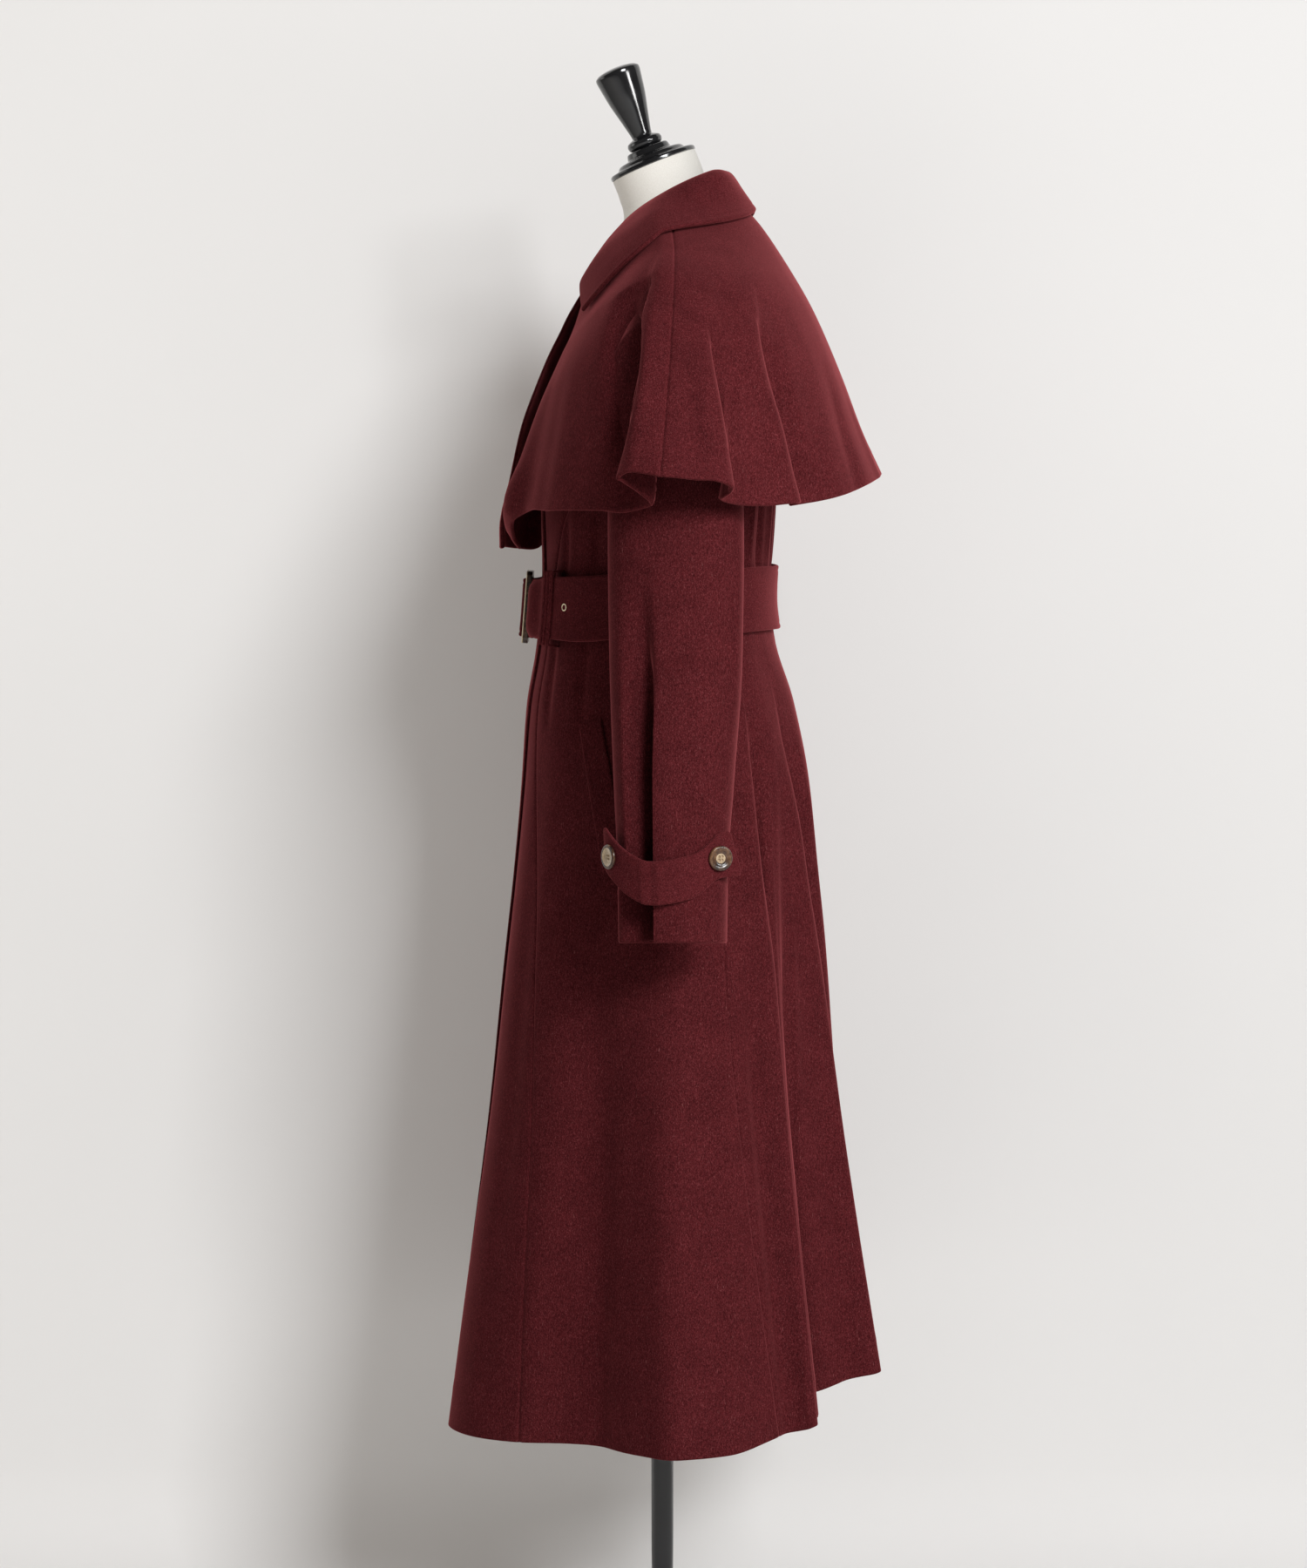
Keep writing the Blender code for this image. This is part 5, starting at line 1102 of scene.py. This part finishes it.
def cape():
    def seam_left(runs):
        return np.full(len(runs), CAPE_SHOULDER)

    def seam_right(runs):
        return 360.0 - seam_left(runs)

    def near_edge(runs):
        return 1.2 + 0.8 * runs

    def far_edge(runs):
        return 359.9 + 4.1 * ease((runs - 0.35) / 0.65)

    cape_panel("cape_front_left", near_edge, seam_left, CAPE_FRONT_COLUMNS, free_low=True)
    cape_panel("cape_back", seam_left, seam_right, CAPE_BACK_COLUMNS)
    cape_panel("cape_front_right", seam_right, far_edge, CAPE_FRONT_COLUMNS, free_high=True, over=True)


COLLAR_FOLD = 0.0040          # radius of the roll
COLLAR_PER_DEGREE = 0.0011
COLLAR_ROUND = 0.0022         # radius of its edges
COLLAR_STITCHES = Mark(-0.00025, 0.0065, 0.0014)


def collar_section(angle):
    """Middle line of the collar at one place: up the stand, over the roll and down the fall."""
    place = 180.0 - abs(180.0 - angle)
    row = collar_track(place)
    roll, (edge_angle, edge_run, rise) = row[:3], row[3:]
    seam = CAPE.base(place, 0.0) * COLLAR_NECK + [0.0, 0.0, COLLAR_CLEAR]
    edge = CAPE.point(edge_angle, edge_run, COLLAR_OFF)
    middle = CAPE.point((place + edge_angle) / 2, edge_run / 2, rise)
    out, up = unit((edge - roll) * [1.0, 1.0, 0.0]), np.array([0.0, 0.0, 1.0])
    top = roll - up * CLOTH / 2
    inside, shoulder = top - out * COLLAR_FOLD - up * COLLAR_FOLD, top + out * COLLAR_FOLD - up * 0.0016
    fall = Track([0.0, 0.5, 1.0], [shoulder, middle, edge])
    line = [seam, seam + (inside - seam) * 0.55, inside, top - up * 0.0004, shoulder,
            fall(0.22), fall(0.48), fall(0.74), edge]
    return np.array(line) * [1.0 if angle <= 180.0 else -1.0, 1.0, 1.0]


def collar():
    ends = COLLAR_PLACES[0].angle
    angles = between_edges(ends, 360.0 - ends, np.linspace(16.0, 344.0, 150), COLLAR_PER_DEGREE)
    lengths = np.array([0.0, 0.15, 0.27, 0.32, 0.37, 0.50, 0.66, 0.83, 1.0])
    fine = np.concatenate([np.linspace(0, 0.92, 36), 1 - np.array([0.055, 0.032, 0.018, 0.009, 0.0035, 0.0])])
    middle = np.stack([Track(lengths, collar_section(a))(fine) for a in angles], axis=1)
    normals = grid_normals(middle)
    step = np.linalg.norm(np.diff(middle, axis=0), axis=-1)
    to_edge = np.concatenate([np.cumsum(step[::-1], axis=0)[::-1], np.zeros((1, len(angles)))])
    step = np.linalg.norm(np.diff(middle, axis=1), axis=-1)
    from_start = np.concatenate([np.zeros((len(fine), 1)), np.cumsum(step, axis=1)], axis=1)
    edge = np.minimum(to_edge, np.minimum(from_start, from_start[:, -1:] - from_start))
    thick = CLOTH + (COLLAR_THICK - CLOTH) * ease((fine - 0.30) / 0.2)[:, None] + 0 * edge
    half = half_thick(thick, edge, COLLAR_ROUND)
    shift = (thick - CLOTH) / 2
    piece = wall("wool_collar", middle + normals * (half + marked(COLLAR_STITCHES, edge) + shift)[..., None],
                 middle - normals * (half - shift)[..., None], WOOL_ACROSS)
    return dressed(piece, "collar")


# ---------------------------------------------------------------- belt, buckle, keeper and eyelets
BELT_UNDER = TOUCH + CLOTH + TOUCH
BELT_OVER = BELT_UNDER + BELT_THICK + TOUCH
BUCKLE_UNDER = BELT_OVER + BELT_THICK + TOUCH
BAR_OVER = BUCKLE_UNDER + BUCKLE_THICK + TOUCH
BELT_START, BELT_END = 4.0, 431.0   # the free end lies under the sleeve
BELT_WIDTH = 0.062
BELT_PER_DEGREE = 0.0022
BELT_WAVE = 0.0007
BELT_STITCHES = Mark(-0.0005, 0.0050, 0.0011)
BULGE = 0.0064                # the free end stands out beside the buckle
WAIST_RADIUS = 0.145          # of the coat where the keeper sits
belt_track = along([(BELT_START, BELT_UNDER), (342.0, BELT_UNDER), (348.0, BELT_UNDER + 0.001), (353.4, BELT_OVER),
                    (358.7, BAR_OVER), (361.3, BAR_OVER), (366.8, BELT_OVER), (BELT_END, BELT_OVER)])
belt_spare = along([(0.0, 0.0006), (12.0, 0.0008), (30.0, 0.0018), (60.0, 0.0038), (320.0, 0.0040),
                    (348.0, 0.0012), (360.0, 0.0006)])
belt_drop = along([(0.0, 0.0), (22.0, 0.0), (60.0, 0.0056), (110.0, 0.0040), (155.0, 0.0), (360.0, 0.0)])


def belt_point(angle, across, off):
    """A point on the belt: angle round the coat, across from its top (0) to its foot (1), off the coat."""
    across = np.asarray(across, float)
    run = BELT_TOP_RUN + (BELT_BOTTOM_RUN - BELT_TOP_RUN) * across
    round_angle = np.asarray(angle, float) % 360.0
    run = run + belt_drop(round_angle)[..., 0] + belt_spare(round_angle)[..., 0] * (2 * across - 1)
    return COAT.point(angle, run, off)


def belt():
    angles = between_edges(BELT_START, BELT_END, np.concatenate([
        np.linspace(7.0, 342.0, 150), np.linspace(343.0, 372.0, 60), np.linspace(372.5, 384.0, 24),
        np.linspace(385.0, BELT_END - 3.0, 36)]), BELT_PER_DEGREE)
    across = between_edges(0.0, BELT_WIDTH, np.linspace(0.007, BELT_WIDTH - 0.007, 14)) / BELT_WIDTH
    angles, across = np.meshgrid(angles, across)
    edge = np.minimum(np.minimum(across, 1 - across) * BELT_WIDTH,
                      np.minimum(angles - BELT_START, BELT_END - angles) * BELT_PER_DEGREE)
    wave = BELT_WAVE * np.sin(np.radians(angles) * 5.0 + 0.8) * (1 - (2 * across - 1) ** 2)
    wave = wave * ease((angles - 60) / 20) * ease((330 - angles) / 20)
    bulge = BULGE * ease((angles - 371.2) / 1.8) * (1 - ease((angles - 374.0) / 10.0)) * (1 - (2 * across - 1) ** 6)
    off = belt_track(angles)[..., 0] + BELT_THICK + marked(BELT_STITCHES, edge) + wave + bulge
    piece = cloth("wool_belt", belt_point(angles, across, off), BELT_THICK + 0 * edge, edge, WOOL_ACROSS)
    return dressed(piece, "belt")


def keeper():
    """A ribbed loop over both layers of the belt, its ends turned down to the coat."""
    low, high = 2 * TOUCH, BELT_OVER + BELT_THICK + TOUCH
    past, skin = 0.075, 0.035                                   # beyond the belt's edges, as shares of its width
    places = np.array([0.0, 0.06, 0.12, 0.5, 0.88, 0.94, 1.0])
    fine = np.concatenate([np.linspace(0, 0.14, 16), np.linspace(0.16, 0.84, 20), np.linspace(0.86, 1.0, 16)])
    across = np.linspace(-1, 1, 33)
    ribs = RIB_HEIGHT * np.cos(across * math.pi * 3) * (1 - across ** 8)
    angle = KEEPER_ANGLE + math.degrees(KEEPER_WIDTH / 2 / WAIST_RADIUS) * across
    grids = []
    for reach, top, rib in ((past + skin, high + KEEPER_THICK, ribs), (past, high, 0 * ribs)):
        line = np.array([(-reach, low), (-reach, top), (0.0, top), (0.5, top), (1.0, top),
                         (1 + reach, top), (1 + reach, low)])
        row = np.array([np.interp(fine, places, line[:, k]) for k in (0, 1)]).T
        grids.append(belt_point(angle[None, :], row[:, :1] + 0 * angle, row[:, 1:] + rib[None, :]))
    return dressed(wall("wool_belt_keeper", *grids, WOOL), "belt_keeper")


def rounded_corners(width, height, radius, x=0.0, steps=8):
    corners = []
    for quadrant in range(4):
        corner_x = x + (width / 2 - radius) * (1 if quadrant in (0, 3) else -1)
        corner_z = (height / 2 - radius) * (1 if quadrant in (0, 1) else -1)
        for step in range(steps + 1):
            a = math.radians(90 * quadrant + 90.0 * step / steps)
            corners.append((corner_x + radius * math.cos(a), corner_z + radius * math.sin(a)))
    return corners


def flat_frame(name, node, outlines, thick, bevel, mat, off):
    """A flat plate with windows and softened edges, that stands up facing the front and leans back."""
    curve = bpy.data.curves.new(name, "CURVE")
    curve.dimensions, curve.fill_mode = "2D", "BOTH"
    curve.extrude, curve.bevel_depth, curve.bevel_resolution, curve.offset = thick / 2 - bevel, bevel, 3, -bevel
    for corners in outlines:
        spline = curve.splines.new("POLY")
        spline.points.add(len(corners) - 1)
        for point, (x, z) in zip(spline.points, corners):
            point.co = (x, z, 0.0, 1.0)
        spline.use_cyclic_u = True
    maker = placed(name + "_curve", curve)
    mesh = bpy.data.meshes.new_from_object(maker.evaluated_get(bpy.context.evaluated_depsgraph_get()))
    bpy.data.objects.remove(maker)
    finish_mesh(mesh, mat, 35)
    obj = placed(name, mesh)
    lean = math.radians(BUCKLE_LEAN)
    obj.location = belt_point(0.0, 0.5, 0.0) + np.array([0.0, -math.cos(lean), math.sin(lean)]) * (off + thick / 2)
    obj.rotation_euler = (math.radians(90 - BUCKLE_LEAN), 0.0, 0.0)
    return dressed(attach(obj, "root"), node)


def buckle():
    window = (BUCKLE_WIDTH - 2 * BUCKLE_SIDE - BUCKLE_BAR) / 2
    shift, tall = (window + BUCKLE_BAR) / 2, BUCKLE_HEIGHT - 2 * BUCKLE_RAIL
    outline = rounded_corners(BUCKLE_WIDTH, BUCKLE_HEIGHT, 0.006)
    windows = [rounded_corners(window, tall, 0.002, x) for x in (-shift, shift)]
    flat_frame("horn_buckle", "buckle_frame", [outline] + windows, BUCKLE_THICK, 0.0007, HORN, BUCKLE_UNDER)
    inner = rounded_corners(BUCKLE_WIDTH - 0.006, BUCKLE_HEIGHT - 0.006, 0.004)
    flat_frame("gold_buckle_rim", "buckle_rim", [outline, inner], BUCKLE_RIM, 0.0004, GOLD,
               BUCKLE_UNDER + BUCKLE_THICK)


def eyelets():
    round_steps, tube_steps = 48, 14
    around, tube = np.meshgrid(np.arange(round_steps) * 2 * math.pi / round_steps,
                               np.arange(tube_steps) * 2 * math.pi / tube_steps, indexing="ij")
    reach = EYELET_RADIUS + EYELET_WIRE * np.cos(tube)
    corners = np.arange(around.size).reshape(around.shape)
    nexts = np.roll(corners, -1, axis=0)
    faces = np.stack([corners, nexts, np.roll(nexts, -1, axis=1), np.roll(corners, -1, axis=1)], axis=-1)
    for number, angle in enumerate(EYELET_ANGLES, 1):
        centre = belt_point(angle, 0.5, BELT_OVER + BELT_THICK + EYELET_WIRE * 0.2)
        away = COAT.normal(np.array(angle), np.array((BELT_TOP_RUN + BELT_BOTTOM_RUN) / 2))
        side = unit(np.cross([0.0, 0.0, 1.0], away))
        points = (centre + (reach * np.cos(around))[..., None] * side + (reach * np.sin(around))[..., None]
                  * np.cross(away, side) + (EYELET_WIRE * 0.75 * np.sin(tube))[..., None] * away)
        piece = add_object("gold_eyelet_%d" % number, points.reshape(-1, 3), faces.reshape(-1, 4).tolist(), GOLD)
        dressed(piece, "eyelet_%d" % number)


# ---------------------------------------------------------------- dress form and stand
NECK_PLACES = (-0.2, -0.12, -0.05)   # above the coat's neck seam, as runs
LEVEL_START, LEVEL_STEP = 0.36, 0.05


def form_body():
    turns = np.arange(0, 360, 3.0)
    s, c = turned_to(turns)
    rings, places = [], list(NECK_PLACES)
    for row in FORM_NECK:
        lean = math.radians(row.lean)
        reach = -row.half_y * c
        y, z = row.y + reach * math.cos(lean), row.z + reach * math.sin(lean)
        rings.append(np.stack([row.half_x * s, y, z], axis=-1))
    for row in FORM_UNDER:
        rings.append(COAT.point(turns, row.run, -(CLOTH + row.side + (row.middle - row.side) * c ** 2)))
        places.append(row.run)
    for k, row in enumerate(FORM_LEVELS):
        rings.append(np.stack([row.half * s, -np.where(c > 0, row.front, row.back) * c, row.z + 0 * s], axis=-1))
        places.append(LEVEL_START + LEVEL_STEP * k)
    smooth = Track(places, np.array(rings).reshape(len(rings), -1))
    fine = np.sort(np.concatenate([np.linspace(places[0], places[-1], 110), places]))
    rows, cols = len(fine), len(turns)
    faces = grid_faces(rows, cols, True)
    faces += [tuple(range(cols)), tuple((rows - 1) * cols + c for c in reversed(range(cols)))]
    return dressed(add_object("form_cover", smooth(fine).reshape(-1, 3), faces, FORM_CLOTH), "form_body")


def softened(profile, rounds=2, share=0.14):
    """The profile with its corners cut finer; its two ends stay."""
    points = np.array(profile)
    for _ in range(rounds):
        a, b = points[:-1], points[1:]
        cut = np.stack([a * (1 - share) + b * share, a * share + b * (1 - share)], axis=1).reshape(-1, 2)
        points = np.concatenate([points[:1], cut[1:-1], points[-1:]])
    return points


def turned(name, node, profile, centre=(0.0, 0.0, 0.0), tilt=0.0, steps=72):
    """A lacquered piece turned about an axis that leans towards the front by tilt."""
    lean = math.radians(tilt)
    up, out = np.array([0.0, -math.sin(lean), math.cos(lean)]), np.array([0.0, math.cos(lean), math.sin(lean)])
    radius, height = np.array([p for p in softened(profile) if p[0] > 1e-6]).T[:, :, None]
    turns = np.arange(steps) * 2 * math.pi / steps
    x, y = radius * np.cos(turns), radius * np.sin(turns)
    rings = centre + x[..., None] * np.array([1.0, 0.0, 0.0]) + y[..., None] * out + height[..., None] * up
    piece = spindle(name, centre + up * profile[0][1], rings, centre + up * profile[-1][1], LACQUER, 32.0)
    return dressed(piece, node)


def stand():
    top = CAP_HEIGHT
    knob = [(0.0, 0.0847), (0.0120, 0.0840), (0.0196, 0.0820), (0.0228, 0.0795), (0.0230, 0.0760),
            (0.0192, 0.0520), (0.0143, 0.0320), (0.0106, 0.0160), (0.0101, 0.0122), (0.0140, 0.0104),
            (0.0170, 0.0088), (0.0180, 0.0055), (0.0170, 0.0022), (0.0140, 0.0)]
    cap = [(0.0200, top), (0.0213, top - 0.0010), (0.0228, 0.0122), (0.0325, 0.0105), (0.0343, 0.0085),
           (0.0358, 0.0062), (0.0435, 0.0050), (0.0447, 0.0035), (0.0447, 0.0), (0.0, 0.0)]
    base = [(0.0, SOCKET_TOP), (0.0190, SOCKET_TOP), (0.0200, SOCKET_TOP - 0.002),
            (0.0220, BASE_THICK + 0.006), (0.0300, BASE_THICK), (BASE_RADIUS - 0.010, BASE_THICK - 0.002),
            (BASE_RADIUS - 0.002, BASE_THICK - 0.005), (BASE_RADIUS, 0.002), (BASE_RADIUS - 0.002, 0.0), (0.0, 0.0)]
    turned("lacquer_neck_cap", "neck_cap", [(r, z + top) for r, z in knob] + cap, CAP_CENTRE, CAP_TILT)
    pole = [(0.0, FORM_BOTTOM), (POLE_RADIUS, FORM_BOTTOM), (POLE_RADIUS, SOCKET_TOP), (0.0, SOCKET_TOP)]
    turned("lacquer_pole", "pole", pole)
    turned("lacquer_base_plate", "base_plate", base)


# ---------------------------------------------------------------- a record for the cloth's cut, unused; declare_cloth does nothing
SIDES = ("left", "right")
Cut = namedtuple("Cut", "piece width length areas held rests_on")   # two areas: one piece for each SIDE


def declare_cloth():
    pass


# ---------------------------------------------------------------- camera, stage and light
CAMERA_AT = (3.8, -0.0092, 1.25)
CAMERA_PITCH = 4.963
LENS, FILM = 86.69, 36.0      # mm; the film's height
FLOOR_REACH, FLOOR_Z = 9.0, -0.001
WALL_X, WALL_HALF, WALL_TOP, WALL_FOOT = -0.36, 1.25, 2.6, -0.2
COVE = 0.12                   # radius of the curve between wall and floor
PALE = (0.82, 0.81, 0.80)
UNEVEN = 0.015                # how far the pale colour drifts

Light = namedtuple("Light", "name at towards size power colour")
KEY = Light("key", (5.58, 2.80, 4.20), (0.0, 0.0, 1.0), (2.3, 1.7), 355.0, (0.985, 1.0, 1.015))
# rakes over the coat's folds from its back and side
SIDE = Light("side", (1.9, 2.2, 1.8), (0.05, 0.0, 1.15), (0.6, 0.8), 32.0, (1.0, 0.996, 0.990))
# weak and straight from the coat's front: it only catches the nap of the front contour in the photo's view
FRONT = Light("front", (-0.1, -3.6, 1.7), (0.0, 0.0, 1.0), (1.6, 1.6), 13.0, (1.0, 0.985, 0.960))
# soft, on the floor, the wall and the form's cover alone, so that the coat's shadow stays pale
FILL = Light("wall_fill", (3.6, -2.6, 2.6), (-0.3, 0.0, 1.0), (2.4, 2.4), 56.0, (1.0, 0.950, 0.890))
SKY_COLOUR, SKY_STRENGTH = (1.0, 0.955, 0.90, 1.0), 0.12


def add_camera():
    data = bpy.data.cameras.new("camera")
    data.sensor_fit, data.sensor_height, data.sensor_width, data.lens = "VERTICAL", FILM, FILM, LENS
    camera = placed("camera", data)
    camera.location = CAMERA_AT
    camera.rotation_euler = (math.radians(90 - CAMERA_PITCH), 0.0, math.radians(90))
    bpy.context.scene.camera = camera


def stage_material(name, one_sided):
    """Pale and matt; a one-sided one is clear from behind."""
    look = Look(name)
    low, high = (tuple(c * k for c in PALE) for k in (1 - UNEVEN, 1 + UNEVEN))
    look.finish(look.ramp(look.noise(1.6, 2.0, 0.5), (0.3, low), (0.7, high)), 0.9, Specular_IOR_Level=0.1)
    if one_sided:
        pick = look.tree.nodes.new("ShaderNodeMixShader")
        sources = look.node("NewGeometry", "Backfacing"), look.shader.outputs[0], look.node("BsdfTransparent", "BSDF")
        for socket, source in zip(pick.inputs, sources):
            look.put(socket, source)
        look.put(look.tree.nodes["Material Output"].inputs["Surface"], pick.outputs[0])
    return look.mat


def add_stage():
    """A pale floor, and a pale wall behind the coat that curves into it and is clear from behind."""
    corners = [(x * FLOOR_REACH, y * FLOOR_REACH, FLOOR_Z) for x, y in ((-1, -1), (1, -1), (1, 1), (-1, 1))]
    floor = add_object("floor", corners, [(0, 1, 2, 3)], stage_material("floor_pale", False))
    curve = [(WALL_X + COVE - COVE * math.sin(a), COVE - COVE * math.cos(a)) for a in np.linspace(0, math.pi / 2, 16)]
    line = [(WALL_FOOT, 0.0)] + curve + [(WALL_X, WALL_TOP)]
    points = [(x, y, z) for x, z in line for y in (-WALL_HALF, WALL_HALF)]
    faces = [(2 * i, 2 * i + 1, 2 * i + 3, 2 * i + 2) for i in range(len(line) - 1)]
    backdrop = add_object("backdrop", points, faces, stage_material("wall_pale", True))
    for piece in (floor, backdrop):
        del piece["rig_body"]


def add_light(light):
    data = bpy.data.lights.new(light.name, "AREA")
    data.shape, (data.size, data.size_y), data.energy, data.color = "RECTANGLE", light.size, light.power, light.colour
    lamp = placed(light.name, data)
    lamp.location = light.at
    x, y, z = np.array(light.at) - np.array(light.towards)
    lamp.rotation_euler = (math.atan2(math.hypot(x, y), z), 0.0, math.atan2(y, x) + math.pi / 2)
    return lamp.light_linking


def add_lights():
    world = bpy.data.worlds.new("studio")
    bpy.context.scene.world = world
    world.use_nodes = True
    sky = world.node_tree.nodes["Background"].inputs
    sky["Color"].default_value, sky["Strength"].default_value = SKY_COLOUR, SKY_STRENGTH
    _, side, front, fill = (add_light(light) for light in (KEY, SIDE, FRONT, FILL))
    worn, pale, room = (bpy.data.collections.new(label)
                        for label in ("lit_from_the_side", "lit_by_the_fill", "blocks_the_fill"))
    for obj in COLLECTION.objects:
        if obj.type == "MESH":
            in_room = obj.name in ("floor", "backdrop")
            (pale if in_room or obj.name.startswith("form") else worn).objects.link(obj)
            if in_room:
                room.objects.link(obj)
    side.receiver_collection = front.receiver_collection = worn
    fill.receiver_collection, fill.blocker_collection = pale, room
    view = bpy.context.scene.view_settings
    view.view_transform, view.look = "Standard", "None"


# ---------------------------------------------------------------- assembly
def build():
    add_camera()
    for side in SIDES:
        for make in (coat_front, coat_side, coat_back, pocket_welt, sleeve, cuff_strap):
            make(side)
        for button in BUTTONS:
            cuff_button(side, button)
    for make in (cape, collar, belt, keeper, buckle, eyelets, form_body, stand, declare_cloth, add_stage, add_lights):
        make()


build()
